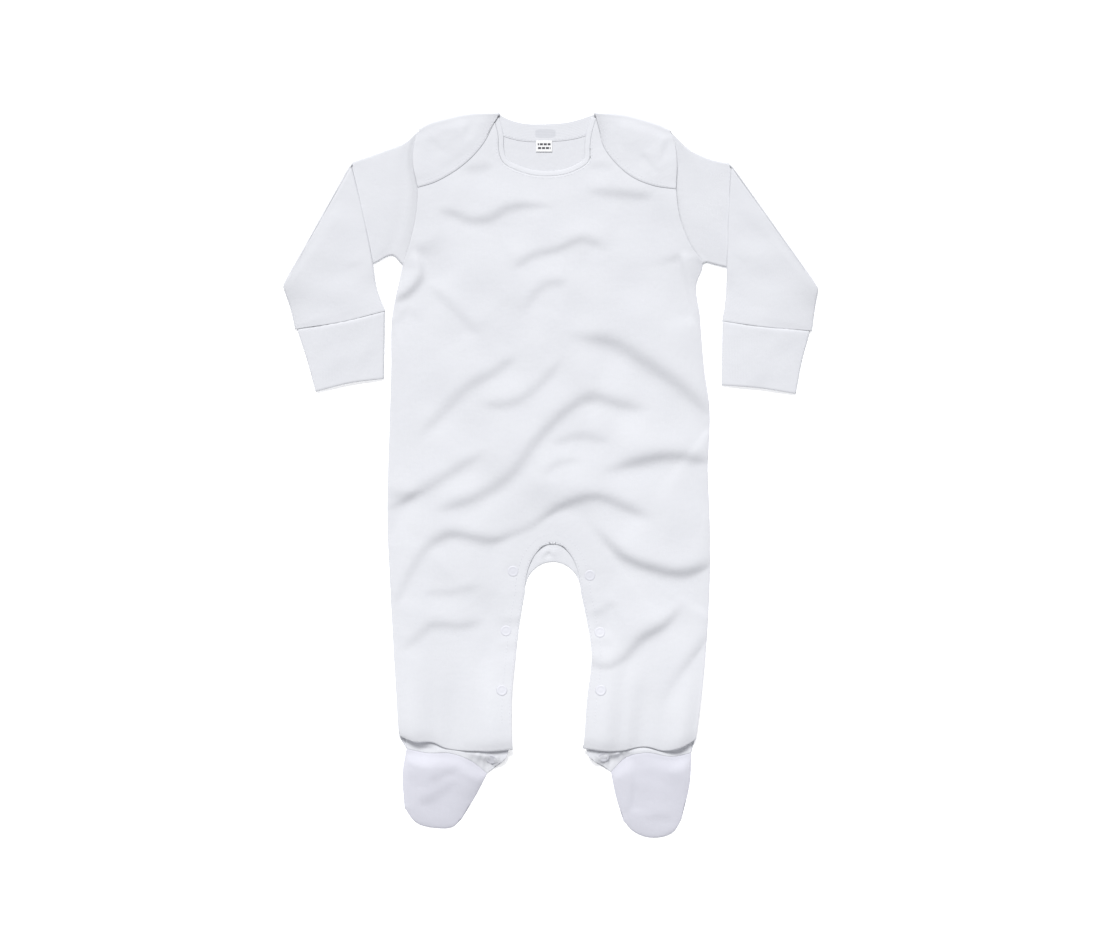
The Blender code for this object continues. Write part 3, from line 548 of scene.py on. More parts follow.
def patch(top, bottom, outer, inner):
    """Plan points between four edges that share their corners."""
    u = lengths(top) / lengths(top)[-1]
    v = lengths(outer) / lengths(outer)[-1]
    u, v = u[None, :, None], v[:, None, None]
    ruled = (1 - v) * top[None] + v * bottom[None]
    across = (1 - u) * outer[:, None] + u * inner[:, None]
    corners = ((1 - u) * (1 - v) * top[0] + u * (1 - v) * top[-1]
               + (1 - u) * v * bottom[0] + u * v * bottom[-1])
    return ruled + across - corners


def edge(table, side):
    return curve([getattr(row, side) for row in table])


def section_line(table, side, y_top, y_bottom):
    """The line of a table of sections between two heights."""
    line = curve([(getattr(row, side), row.y) for row in table])
    keep = (line[:, 1] < y_top - 0.01) & (line[:, 1] > y_bottom + 0.01)
    ends = [np.interp(-y, -line[:, 1], line[:, 0]) for y in (y_top, y_bottom)]
    return np.vstack([[ends[0], y_top], line[keep], [ends[1], y_bottom]])


def arch(side, crotch):
    """Half of a leg arch, from its top down to its foot: a quarter of an ellipse."""
    foot = INNER_LEGS[0]
    middle = (foot.left + foot.right) / 2
    half = (foot.right - foot.left) / 2 * (-1 if side == "left" else 1)
    angle = np.linspace(0.0, math.pi / 2, 24)
    return np.column_stack([middle + half * np.sin(angle),
                            ARCH_FOOT + (crotch - ARCH_FOOT) * np.cos(angle)])


def inner_leg(side, crotch):
    """The inner leg edge, from the crotch to the ankle."""
    straight = section_line(INNER_LEGS, side, ARCH_FOOT, INNER_LEGS[-1].y)
    return np.vstack([arch(side, crotch), straight[1:]])


def nearest(points, line):
    """For each point: distance to a line, how far along it, and which side it is on."""
    p = np.asarray(points, float)
    run_at = lengths(line)
    best = np.full(p.shape[:-1], 1e9)
    place = np.zeros(p.shape[:-1])
    aside = np.zeros(p.shape[:-1])
    for i in range(len(line) - 1):
        run = line[i + 1] - line[i]
        size = max(np.linalg.norm(run), 1e-9)
        off = p - line[i]
        t = np.clip((off @ run) / size**2, 0.0, 1.0)
        gap = np.linalg.norm(off - t[..., None] * run, axis=-1)
        closer_now = gap < best
        best = np.where(closer_now, gap, best)
        place = np.where(closer_now, run_at[i] + t * size, place)
        left = (run[0] * off[..., 1] - run[1] * off[..., 0]) / size
        aside = np.where(closer_now, left, aside)
    return best, place, aside


def distance(points, line):
    return nearest(points, line)[0]


def ramp(value, start, end):
    """0 at start, 1 at end, with soft ends."""
    t = np.clip((value - start) / (end - start), 0.0, 1.0)
    return t * t * (3 - 2 * t)


def upper_of(a, b, blend=0.8):
    """The larger of two heights, with a soft change from one to the other."""
    return (a + b + np.sqrt((a - b)**2 + blend**2)) / 2


def uneven(points, size, seed):
    """A gentle unevenness between about -1 and 1, with hollows "size" apart."""
    chance = np.random.default_rng(seed)
    total = np.zeros(points.shape[:-1])
    for _ in range(7):
        angle, phase = chance.uniform(0, 2 * math.pi, 2)
        wave = 2 * math.pi / (size * chance.uniform(0.7, 1.5))
        total += np.sin((points @ [math.cos(angle), math.sin(angle)]) * wave + phase)
    return total / 3.5


def eased(value, places, heights):
    """Smooth steps through heights at places."""
    total = np.full(np.shape(value), float(heights[0]))
    for i in range(1, len(places)):
        total += (heights[i] - heights[i - 1]) * ramp(value, places[i - 1], places[i])
    return total


print("side seam is", round(lengths(section_line(SIDES, "left", 174.5, -220.0))[-1]), "mm long")

# %% [markdown]
# ## Creases
#
# A crease in laid cloth is a step: the sheet climbs slowly to a crest, falls steeply on the far
# side and comes back up from a trough.  Each one is a row of a table: the line of its steep side,
# how far it falls, and half the width of the fall.  The steep sides face the feet.  The long ones
# start from the side seams, where the suit is caught between front and back, and run out in the
# middle.  The last two numbers say over what length a crease fades in and out.

# %% The creases of the front, in millimetres
Crease = namedtuple("Crease", "place line drop width start end")

CREASES = [
    Crease("left of the neck", [(-78, 253), (-62, 256), (-46, 258)], 1.3, 5.0, 14, 10),
    Crease("right of the neck", [(30, 257), (43, 258), (54, 256)], 0.9, 4.0, 8, 8),
    Crease("upper chest, left", [(-98, 222), (-82, 218), (-65, 212), (-52, 213), (-38, 221), (10, 224)],
           2.2, 5.5, 18, 40),
    Crease("upper chest, right", [(24, 238), (50, 235), (88, 232)], 2.0, 5.5, 24, 12),
    Crease("chest arc", [(-34, 170), (-16, 182), (6, 188), (28, 196), (50, 186)], 2.0, 6.0, 14, 16),
    Crease("under the chest arc", [(-22, 132), (-14, 150), (-2, 159), (16, 159)], 1.6, 6.0, 16, 10),
    Crease("left ribs", [(-104, 160), (-80, 138), (-58, 114)], 1.9, 6.0, 18, 14),
    Crease("left waist", [(-26, 101), (-46, 86), (-67, 74), (-90, 52), (-112, 28)], 2.4, 6.5, 16, 24),
    Crease("middle, short", [(14, 102), (-8, 76), (-30, 60), (-62, 58)], 2.0, 6.5, 26, 18),
    Crease("waist to right hip", [(8, 119), (28, 114), (48, 111), (80, 93), (111, 72), (131, 55),
                               (146, 43)], 5.6, 10.5, 50, 10),
    Crease("middle to left thigh", [(86, 53), (60, 58), (32, 64), (12, 52), (-10, 30), (-35, -2),
                                    (-61, -19), (-100, -31)], 3.6, 8.0, 30, 26),
    Crease("belly button", [(0, 23), (14, 30), (28, 32), (52, 26)], 1.4, 5.5, 12, 14),
    Crease("under the belly", [(-8, -3), (4, 8), (28, 12)], 1.0, 5.0, 10, 12),
    Crease("left hip", [(-152, -15), (-137, -17), (-118, -18), (-93, -5), (-61, 15), (-50, 22)],
           2.7, 7.0, 10, 30),
    Crease("left hip, lower", [(-150, -38), (-137, -31), (-126, -25), (-104, -10)], 2.6, 5.0, 10, 20),
    Crease("right hip", [(38, -3), (58, 6), (75, 11), (101, 15), (134, 10), (150, 5)], 4.9, 8.2, 46, 10),
    Crease("left thigh", [(-112, -70), (-98, -57), (-83, -50), (-66, -53), (-49, -56), (-20, -48),
                          (11, -26), (38, -19), (64, -28), (88, -40)], 3.6, 7.0, 26, 26),
    Crease("right thigh", [(28, -36), (46, -55), (61, -69), (86, -79), (108, -83), (134, -76),
                            (150, -70)], 5.2, 7.4, 50, 10),
    Crease("left outer thigh", [(-131, -112), (-121, -89), (-110, -70), (-100, -58)], 2.0, 6.0, 16, 16),
    Crease("left knee, faint", [(-110, -99), (-82, -99), (-54, -92)], 1.2, 5.5, 14, 14),
    Crease("left knee", [(-127, -149), (-112, -137), (-100, -127), (-76, -127), (-53, -123)],
           1.9, 6.0, 14, 16),
    Crease("right knee", [(18, -156), (33, -159), (50, -162), (62, -154), (76, -138), (94, -127),
                           (114, -106)], 4.6, 6.8, 10, 36),
    Crease("right calf", [(144, -120), (131, -138), (114, -158), (100, -179), (90, -205)],
           3.6, 6.4, 10, 26),
    Crease("right thigh, short", [(34, -119), (46, -112), (58, -106)], 1.4, 5.0, 10, 12),
    Crease("left armpit tuck", [(-116, 190), (-109, 178), (-108, 166), (-115, 155), (-127, 147),
                                (-140, 142)], 4.4, 5.6, 14, 8),
    Crease("below the left armpit", [(-145, 118), (-131, 128), (-124, 134), (-118, 142)], 1.4, 5.0, 8, 8),
    Crease("right side", [(108, 186), (111, 172), (115, 156), (119, 140), (124, 122)], 3.0, 4.0, 8, 14),
]
RUN_OUT = 3.0            # the slow climb to a crest, in widths of the fall
STEP_PEAK = 0.8          # brings the top of the step to half of the drop
STEP_SHARP = 1.3         # how sudden the fall is
TIP_WIDTH = 0.55         # how narrow a crease is at its tips


def crease_height(points, creases):
    """Sum of the creases over plan points."""
    total = np.zeros(points.shape[:-1])
    for crease in creases:
        line = curve(crease.line, 3.0)
        whole = lengths(line)[-1]
        gap, place, aside = nearest(points, line)
        fade = ramp(place, 0.0, crease.start) * (1 - ramp(place, whole - crease.end, whole))
        u = np.copysign(gap, aside) / (crease.width * (TIP_WIDTH + (1 - TIP_WIDTH) * fade))
        heading = 1 if line[-1][0] > line[0][0] else -1
        step = STEP_PEAK * np.tanh(STEP_SHARP * u) * np.exp(-np.abs(u) / RUN_OUT)
        total += crease.drop * heading * fade * step
    return total


print(len(CREASES), "creases on the front")

# %% [markdown]
# ## How high each layer stands
#
# Where the suit is caught in a seam its two sides lie on each other.  Away from the seams air under
# the front lifts it by a few millimetres.  Along the inner legs it lies on the two popper bands, and
# round the neck on the band inside the back.  All of that is one sum of smooth heights over the
# plan, so a crease can cross the whole front without a break.

# %% Heights
FRONT_LEGS = {side: inner_leg(side, CROTCH_FRONT) for side in ("left", "right")}
SIDE_SEAMS = {side: section_line(SIDES, side, 172.0, SIDES[-1].y) for side in ("left", "right")}
ARMHOLES = {side: section_line(SIDES, side, SHOULDER[0].left[1], ARMPIT) for side in ("left", "right")}
NECK_LINE = np.vstack([edge(FRONT_NECK, "left"), edge(FRONT_NECK, "right")[::-1]])
POPPER_SPOTS = [np.array(getattr(row, side)) for row in POPPERS for side in ("left", "right")]
NECK_HOLD, NECK_REACH = 0.8, 22.0        # the neck holds down this share of the crown, this far out
LEG_HOLD, LEG_REACH = 10.0, 55.0         # an inner leg holds all of it down here, and none from here
BAND_FADE = 22.0                         # the lift of the bands runs out over this width
NECK_CLIMB = (205.0, 236.0)              # the front climbs onto the neck's layers between these
CHEST_FADE, CHEST_CALM = 0.6, (150.0, 300.0)     # share of the crown lost up the chest, and where
SIDE_CALM, SIDE_CALM_REACH = 0.7, 9.0    # share of a crest that a side seam holds down
EDGE_SINK = 0.45                         # how far an edge sinks onto the cloth below
DIMPLE, DIMPLE_REACH = 0.55, 5.5         # what a popper presses into the cloth


def to_sides(points):
    return np.minimum(*[distance(points, SIDE_SEAMS[side]) for side in SIDE_SEAMS])


def front_height(points):
    """Middle of the front cloth above the table."""
    to_side = to_sides(points)
    to_leg = np.minimum(*[distance(points, FRONT_LEGS[side]) for side in FRONT_LEGS])
    to_arm = np.minimum(*[distance(points, ARMHOLES[side]) for side in ARMHOLES])
    to_neck = distance(points, NECK_LINE)
    y = points[..., 1]
    off_side = 1 - np.exp(-to_side / CROWN_REACH)
    off_neck = 1 - NECK_HOLD * np.exp(-to_neck / NECK_REACH)
    over_bands = (1 - ramp(to_leg, BAND_WIDTH, BAND_WIDTH + BAND_FADE)) * OVER_BANDS
    over_neck = ramp(y, *NECK_CLIMB) * LAYER
    level = 1 - CHEST_FADE * ramp(y, *CHEST_CALM)
    crown = CROWN * off_side * off_neck * level * ramp(to_leg, LEG_HOLD, LEG_REACH)
    creased = crease_height(points, CREASES) * (1 - 0.5 * np.exp(-to_arm / 8))
    held = 1 - SIDE_CALM * np.exp(-to_side / SIDE_CALM_REACH)
    creased = np.where(creased > 0, creased * held, creased)
    soft = uneven(points, 70.0, 3) * 0.7 + uneven(points, 26.0, 4) * 0.22
    on_bands = 1 - ramp(to_leg, BAND_WIDTH - 4, BAND_WIDTH + 6)
    pucker = uneven(points * [0.35, 1.0], 13.0, 6) * 0.4 * on_bands
    lift = upper_of(over_bands, crown + soft * off_side * off_neck) + pucker
    body = upper_of(lift + creased, over_bands + 0.05, 0.5)
    tight = np.exp(-to_side / 1.0) * EDGE_SINK + np.exp(-to_leg / 1.5) * EDGE_SINK
    to_spots = [np.linalg.norm(points - spot, axis=-1) / DIMPLE_REACH for spot in POPPER_SPOTS]
    dimples = sum(np.exp(-to_spot**2) for to_spot in to_spots)
    return Z_SECOND + body + over_neck - tight - DIMPLE * dimples


def back_height(points):
    """Middle of the back cloth: on the table, and up where a crease lifts the side seam."""
    crests = np.maximum(crease_height(points, CREASES), 0.0) * np.exp(-to_sides(points) / 7.0)
    return Z_BACK + crests * 0.9


def lap_height(points):
    """Middle of the shoulder lap, one layer above the front."""
    return front_height(points) + LAYER


sample = np.array([[0.0, 100.0], [0.0, 0.0], [100.0, 14.0]])
print("front stands at", [round(float(z), 1) for z in front_height(sample)], "mm")

# %% [markdown]
# ## From grid to cloth
#
# Every sheet starts as a Blender grid whose vertices are moved to their places.  The grid's flat
# cut is kept as a UV map in metres, for the knit.  Halves that share a line are joined there.  A
# narrow inset runs round the border, and Solidify gives the wall, thinner at that rim, so an edge
# looks soft instead of cut from card.

# %% Making a sheet
SIDE_NAMES = ("left", "right")
RIM = 0.5                # width over which the edge of a cloth rounds off
RIM_WALL = 0.35          # how much of the wall is left at the very edge
JOIN = 0.01 * MM         # points closer than this become one


def raised(plan, height):
    tall = np.broadcast_to(height, plan.shape[:-1])
    return np.concatenate([plan, tall[..., None]], axis=-1)


def add_grid(bm, points, cut):
    """Lay a grid of faces over rows of points, with the flat cut as its UV map."""
    rows, columns = points.shape[:2]
    made = bmesh.ops.create_grid(bm, x_segments=columns - 1, y_segments=rows - 1, size=1.0)
    ordered = sorted(made["verts"], key=lambda v: (round(v.co.y, 5), round(v.co.x, 5)))
    layer = bm.loops.layers.uv["cut"]
    place_in_cut = dict(zip(ordered, cut.reshape(-1, 2) * MM))
    for vert, point in zip(ordered, points.reshape(-1, 3)):
        vert.co = Vector(point) * MM
        for loop in vert.link_loops:
            loop[layer].uv = place_in_cut[vert]


def finish_piece(piece, finish, node=None):
    """Put a piece on the suit with its finish, in place of the node it stands for."""
    piece.data.materials.append(finish.material)
    bpy.context.scene.collection.objects.link(piece)
    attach(piece, "root")
    if node:
        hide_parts(node)
    return piece


def sheet_area(piece):
    """Area of one side of a piece, in square metres."""
    return sum(face.area for face in piece.data.polygons)


def sheet(name, grids, finish, node, wall=WALL):
    """A piece of cloth from grids of (points, flat cut)."""
    bm = bmesh.new()
    bm.loops.layers.uv.new("cut")
    for points, cut in grids:
        add_grid(bm, points, cut)
    bmesh.ops.remove_doubles(bm, verts=bm.verts, dist=JOIN)
    bmesh.ops.dissolve_degenerate(bm, edges=bm.edges, dist=JOIN / 2)
    bmesh.ops.inset_region(bm, faces=bm.faces, thickness=RIM * MM, depth=0.0, use_boundary=True,
                           use_even_offset=False, use_interpolate=True)
    bmesh.ops.recalc_face_normals(bm, faces=bm.faces)
    bm.verts.index_update()
    rim = [vert.index for vert in bm.verts if vert.is_boundary]
    mesh = bpy.data.meshes.new(name)
    bm.to_mesh(mesh)
    bm.free()
    mesh.shade_smooth()
    piece = bpy.data.objects.new(name, mesh)
    share = piece.vertex_groups.new(name="wall")
    share.add(range(len(mesh.vertices)), 1.0, "REPLACE")
    share.add(rim, RIM_WALL, "REPLACE")
    thick = piece.modifiers.new("wall", "SOLIDIFY")
    thick.thickness = wall * MM
    thick.offset = 0.0
    thick.vertex_group = share.name
    finish_piece(piece, finish, node)
    print(name, len(mesh.polygons), "faces,", round(sheet_area(piece), 4), "m2")
    return piece


def flat(points):
    """Flat cut of a sheet that already lies flat: its plan."""
    return points[..., :2]


def unrolled(points):
    """Flat cut of a grid that is turned or rolled: distance along rows and down the columns."""
    across = np.stack([lengths(row) for row in points])
    step = np.linalg.norm(np.diff(points, axis=0), axis=-1).mean(axis=1)
    down = np.concatenate([[0.0], np.cumsum(step)])[:, None]
    return np.stack([across, np.broadcast_to(-down, across.shape)], axis=-1)


def turn(row, z_low, z_high, outward, steps=7):
    """Rows that carry a row of plan points round a half turn, from z_low to z_high."""
    z_low, z_high = (np.broadcast_to(z, row.shape[:1]) for z in (z_low, z_high))
    radius = np.abs(z_high - z_low)[:, None] / 2
    rows = []
    for angle in np.linspace(0.0, math.pi, steps + 1)[1:-1]:
        plan = row + outward * radius * math.sin(angle)
        rows.append(raised(plan, (z_low + z_high) / 2 - (z_high - z_low) / 2 * math.cos(angle)))
    return np.stack(rows)


def outward_of(row, toward):
    """Unit normals in plan of a row of points, on the side that faces a direction."""
    run = np.gradient(row, axis=0)
    normal = np.column_stack([-run[:, 1], run[:, 0]])
    normal /= np.linalg.norm(normal, axis=1)[:, None]
    return normal * np.sign(normal @ np.array(toward))[:, None]


def beside(nodes, width, side):
    """Nodes moved sideways into the cloth, off an edge that runs from its corner to the middle."""
    run = np.gradient(nodes, axis=0)
    run /= np.linalg.norm(run, axis=1)[:, None]
    normal = np.column_stack([run[:, 1], -run[:, 0]]) * (1 if side == "left" else -1)
    normal[-1] = (0.0, -1.0)
    return nodes + normal * width


def half_neck(table, side):
    """Half of a neck line, from its corner to the middle, level where it meets its other half."""
    other = "right" if side == "left" else "left"
    whole = [getattr(row, side) for row in table] + [getattr(row, other) for row in table[-2::-1]]
    line = curve(whole)
    middle = np.argmin(np.linalg.norm(line - np.array(getattr(table[-1], side)), axis=1))
    return line[: middle + 1]


def centre_at(y):
    """x of the centre line: it drifts a little from the neck to the crotch."""
    return np.interp(y, [CROTCH_FRONT, FRONT_NECK[-1].left[1]], [1.9, FRONT_NECK[-1].left[0]])


def between(outer, inner, fractions):
    return outer + (np.array(inner) - outer) * np.array(fractions)[:, None]


print("sheet maker ready")

# %% [markdown]
# ## The back, with both shoulder laps
#
# The back is the longest piece.  It lies flat under everything, but at each shoulder it runs on past
# the neck, folds over the top of the front and ends in the curved lap of an envelope neck, hemmed
# with two rows of stitches.  One sheet makes all of it, so the fold at the shoulder is a real turn.

# %% Back and laps
SHOULDER_SPANS = 44
NECK_SPANS = 24


def back_top(side):
    shoulder = along(edge(SHOULDER, side), even(SHOULDER_SPANS))
    neck = along(half_neck(BACK_NECK, side), even(NECK_SPANS))
    return np.vstack([shoulder, neck[1:]])


def back_grid(side):
    top = back_top(side)
    columns = even(SHOULDER_SPANS + NECK_SPANS)
    armhole = along(ARMHOLES[side], even(36))
    armhole[0] = top[0]
    chest = between(armhole[-1], (centre_at(ARMPIT), ARMPIT), columns)
    centre = along(np.array([top[-1], chest[-1]]), even(36))
    upper = patch(top, chest, armhole, centre)

    seam = section_line(SIDES, side, ARMPIT, CROTCH_BACK - 8.0)
    centre = np.array([chest[-1], (centre_at(CROTCH_FRONT), CROTCH_BACK + 0.6)])
    crotch = between(seam[-1], centre[-1], columns)
    middle = patch(chest, crotch, along(seam, even(80)), along(centre, even(80)))

    ankle = along(edge(ANKLE_SEAM, side), columns)
    outer = np.vstack([section_line(SIDES, side, CROTCH_BACK - 8.0, SIDES[-1].y), ankle[:1]])
    inner = inner_leg(side, CROTCH_BACK + 0.6)
    inner[:, 0] += ramp(inner[:, 1], CROTCH_BACK, ARCH_FOOT) * (-0.6 if side == "left" else 0.6)
    inner = np.vstack([inner, ankle[-1:]])
    leg = patch(crotch, ankle, along(outer, even(52)), along(inner, even(52)))
    plan = np.concatenate([upper, middle[1:], leg[1:]])
    return raised(plan, back_height(plan)), flat(plan)


def lap_plan(side):
    """The lap in plan: from the shoulder fold down to its curved hem."""
    fold = along(edge(SHOULDER, side), even(SHOULDER_SPANS))
    hem = along(edge(LAP_EDGE, side), even(SHOULDER_SPANS))
    line = ARMHOLES[side]
    armhole = along(np.vstack([fold[:1], line[(line[:, 1] > hem[0, 1] + 1.0) & (line[:, 1] < 284.0)],
                               hem[:1]]), even(30))
    neck = along(np.array([fold[-1], hem[-1]]), even(30))
    return patch(fold, hem, armhole, neck), fold


LAP_LOOSE = 0.6          # how far a lap stands off the front, away from its edges
LAP_SETTLE = 0.25        # how far its hem sinks onto the front
LAP_CREASES = {
    "left": [Crease("top", [(-67, 299), (-70, 290), (-73, 278)], 0.6, 3.5, 6, 8),
             Crease("middle", [(-102, 282), (-94, 276), (-86, 268)], 0.5, 4.0, 8, 8)],
    "right": [Crease("top", [(58, 298), (59, 284), (62, 268)], 0.7, 3.5, 6, 10),
              Crease("middle", [(76, 270), (86, 258), (92, 250)], 0.7, 3.0, 6, 6),
              Crease("tip", [(100, 282), (94, 272), (92, 260)], 0.8, 3.0, 3, 8)],
}


def lap_grid(side):
    plan, fold = lap_plan(side)
    to_hem = distance(plan, edge(LAP_EDGE, side))
    loose = ramp(distance(plan, fold), 0.0, 10.0) * ramp(to_hem, 2.0, 12.0)
    creased = uneven(plan, 26.0, 8) * 0.12 + crease_height(plan, LAP_CREASES[side])
    z = lap_height(plan) + 0.08 * ramp(to_hem, 4.6, 3.8)
    z += np.maximum(creased + LAP_LOOSE, 0.0) * loose - LAP_SETTLE * np.exp(-to_hem / 1.1)
    rounded = turn(fold, Z_BACK, z[0], outward_of(fold, (0.0, 1.0)))
    points = np.concatenate([raised(fold, Z_BACK)[None], rounded, raised(plan, z)])
    return points, unrolled(points)


back = sheet("back", [grid(side) for grid in (back_grid, lap_grid) for side in SIDE_NAMES],
             cotton, "back_panel")

# %% [markdown]
# ## The front
#
# The front runs from the shoulders, under the laps, to the seam with each foot.  It carries the
# creases.  At each ankle there is more leg than room, so the cloth rolls over, turns back under
# itself and comes out again towards the foot: a Z of three layers whose roll overhangs the foot.
# The stack is not lifted evenly.  Its middle lies flush on the foot, and it stands up towards both
# ends, where dark pockets open between the roll and the foot.

# %% Front
FRONT_COLUMNS = closer(58)
SHOULDER_SHARE = 24      # grid columns that end on the shoulder
TUCK_TURN = 0.36
Roll = namedtuple("Roll", "place share lift turn fall")
ROLLS = [                # along the ankle: lift of the stack, radius of the roll, and its soft fall
    Roll("outer edge", 0.0, 1.4, 1.4, 0.8),
    Roll("outer pocket", 0.16, 3.4, 1.7, 1.4),
    Roll("step", 0.36, 2.5, 0.9, 0.7),
    Roll("tongue", 0.5, 2.6, 0.36, 0.3),
    Roll("inner fall", 0.66, 3.4, 1.1, 1.0),
    Roll("inner pocket", 0.84, 5.2, 1.8, 1.8),
    Roll("inner edge", 1.0, 4.8, 1.6, 1.6),
]
FALL_REACH = 11.0        # width over which the leg falls to its roll
TUCK_DEPTH = 8.0
TONGUE = 83.0            # distance from the centre line to where the foot reaches up to the roll
TONGUE_REACH = 27.0
TONGUE_RISE = 3.5
LEG_RISE = (110.0, 4.0)  # the leg climbs to the top of its roll between these, above the hem
ROLL_SQUASH = 0.85       # the roll is pressed a little flat
ROLL_STEPS, TUCK_STEPS = 10, 6
GATHER_SIZE = 5.5        # how far apart the gathers under the roll lie
PLACKET = 55.5           # distance from the centre line to the edge of the popper band at the ankle


def ankle_height(points):
    """Height of the seam with the foot: it rises under the middle of the roll."""
    off_middle = np.abs(np.abs(points[..., 0]) - TONGUE) / TONGUE_REACH
    return Z_SECOND + TONGUE_RISE * (1 - ramp(off_middle, 0.35, 1.0))


def front_neck_nodes(side):
    return along(half_neck(FRONT_NECK, side), even(len(FRONT_COLUMNS) - 1 - SHOULDER_SHARE))


def front_top(side):
    """Upper edge of the front: shoulder, then half of the neck inside its binding."""
    neck = beside(front_neck_nodes(side), BINDING_WIDTH, side)
    shoulder = edge(SHOULDER, side) - [0.0, 2.2]
    shoulder = np.vstack([shoulder[:-4], neck[:1]])
    return np.vstack([along(shoulder, even(SHOULDER_SHARE)), neck[1:]])


def front_grid(side):
    top = front_top(side)
    armhole = along(ARMHOLES[side], even(52))
    armhole[0] = top[0]
    chest = between(armhole[-1], (centre_at(ARMPIT), ARMPIT), FRONT_COLUMNS)
    centre = along(np.array([top[-1], chest[-1]]), even(52))
    upper = patch(top, chest, armhole, centre)

    seam = section_line(SIDES, side, ARMPIT, CROTCH_FRONT - 12.0)
    centre = np.array([chest[-1], (centre_at(CROTCH_FRONT), CROTCH_FRONT)])
    crotch = between(seam[-1], centre[-1], FRONT_COLUMNS)
    middle = patch(chest, crotch, along(seam, even(106)), along(centre, even(106)))

    hem = along(edge(HEM, side), FRONT_COLUMNS)
    outer = section_line(SIDES, side, CROTCH_FRONT - 12.0, SIDES[-1].y + 2.0)
    inner = FRONT_LEGS[side].copy()
    outer[-1], inner[-1] = hem[0], hem[-1]
    leg = patch(crotch, hem, along(outer, even(74)), along(inner, even(74)))
    plan = np.concatenate([upper, middle[1:], leg[1:]])
    z = front_height(plan)

    shares = [roll.share for roll in ROLLS]
    lift, hem_turn, fall = (eased(FRONT_COLUMNS, shares, [getattr(roll, part) for roll in ROLLS])
                            for part in ("lift", "turn", "fall"))
    inside = ramp(FRONT_COLUMNS, 0.55, 0.9)
    z_tuck = Z_SECOND + lift + 2 * TUCK_TURN
    z_hem = z_tuck + 2 * hem_turn
    above = plan[..., 1] - hem[:, 1]
    rise = ramp(above, *LEG_RISE)
    soft_fall = fall * np.clip(1 - above / FALL_REACH, 0.0, 1.0)**2.2
    body = raised(plan, z + (z_hem + fall - z) * rise - soft_fall)
    body[-1, :, 2] = z_hem

    down = np.broadcast_to([0.0, -1.0], hem.shape)
    roll = turn(hem, z_hem, z_tuck, down * ROLL_SQUASH, ROLL_STEPS)
    tuck = hem + [0.0, TUCK_DEPTH]
    tuck[:, 0] += np.linspace(4.0, -4.0, len(hem)) * (1 if side == "left" else -1)
    back_turn = turn(tuck, z_tuck, Z_SECOND + lift, -down, TUCK_STEPS)
    ankle = along(edge(ANKLE_SEAM, side), FRONT_COLUMNS)
    outer = along(np.array([tuck[0], ankle[0]]), even(16))
    inner = along(curve([tuck[-1], hem[-1] + [tuck[-1][0] - hem[-1][0], -6.0], ankle[-1]]), even(16))
    shin = patch(tuck, ankle, outer, inner)
    down_leg = even(16)[:, None]
    hidden = ramp(down_leg, 0.5, 0.62)
    gathers = uneven(shin * [1.0, 0.3], GATHER_SIZE, 15) * (0.15 + 1.5 * inside)
    placket = np.exp(-((np.abs(shin[..., 0]) - PLACKET) / 1.3)**2) * 0.9
    loose = (gathers + placket + 0.6 * inside) * hidden * np.sin(math.pi * down_leg)
    to_seam = (ankle_height(ankle) - Z_SECOND - lift) * ramp(down_leg, 0.49, 0.8)
    lower = raised(shin, Z_SECOND + lift + np.maximum(loose, -0.1) + to_seam)
    points = np.concatenate([body, roll, raised(hem, z_tuck)[None], raised(tuck, z_tuck)[None],
                             back_turn, lower])
    cut = np.concatenate([flat(body), unrolled(np.concatenate([body[-1:], points[len(body):]]))[1:]])
    return points, cut


front = sheet("front", [front_grid(side) for side in SIDE_NAMES], cotton, "front_panel")

# %% [markdown]
# ## Sleeves and cuffs
#
# A sleeve is a tube pressed flat.  It leaves the armhole, and the arm is folded over on itself so
# that the forearm lies on the upper arm with the cuff pointing down.  Rings of points run round the
# tube: along its lower cloth, round one edge and back along its upper cloth.  The cuff is a second,
# doubled tube.  Its seam draws it in, which leaves small puckers in the cloth.

# %% Sleeves and cuffs
SLEEVE_COLUMNS = closer(34, 0.7)
INNER_TURN = 0.45        # radius of the fold for the cloth inside it
OUTER_TURN = 1.7         # and for the cloth outside it
CORNER_TURN, CORNER = 0.35, 0.08         # share of the fold's spread at its corners, and their width
FOLD_STEPS = 9
SLEEVE_PUFF, ELBOW_PUFF, FOREARM_PUFF = 1.6, 1.2, 2.6
PUCKER, PUCKER_WAVE = 0.22, 0.9          # height of the puckers at a cuff, and radians per mm
CUFF_PUFF, CUFF_FALL = 3.4, 0.55         # height of a cuff, and the share it loses at its end
CUFF_DRAWN = 0.5                         # how far the seam draws a cuff down
SLEEVE_GAP = -0.8        # the sleeve is sewn into the armhole, so their edges share this much
CUFF_SHARE = 1.3         # and the cuff's edge and the sleeve's this much
SLEEVE_CREASES = {
    "left": [
        Crease("forearm, upper", [(-169, 247), (-166, 232), (-161, 216)], 0.9, 3.5, 8, 10),
        Crease("elbow", [(-150, 184), (-160, 176), (-176, 172)], 0.8, 4.0, 4, 12),
    ],
    "right": [
        Crease("forearm, upper", [(153, 246), (156, 226), (156, 208)], 0.7, 3.5, 8, 12),
        Crease("elbow", [(150, 186), (160, 180), (172, 178)], 0.6, 4.0, 4, 12),
    ],
}


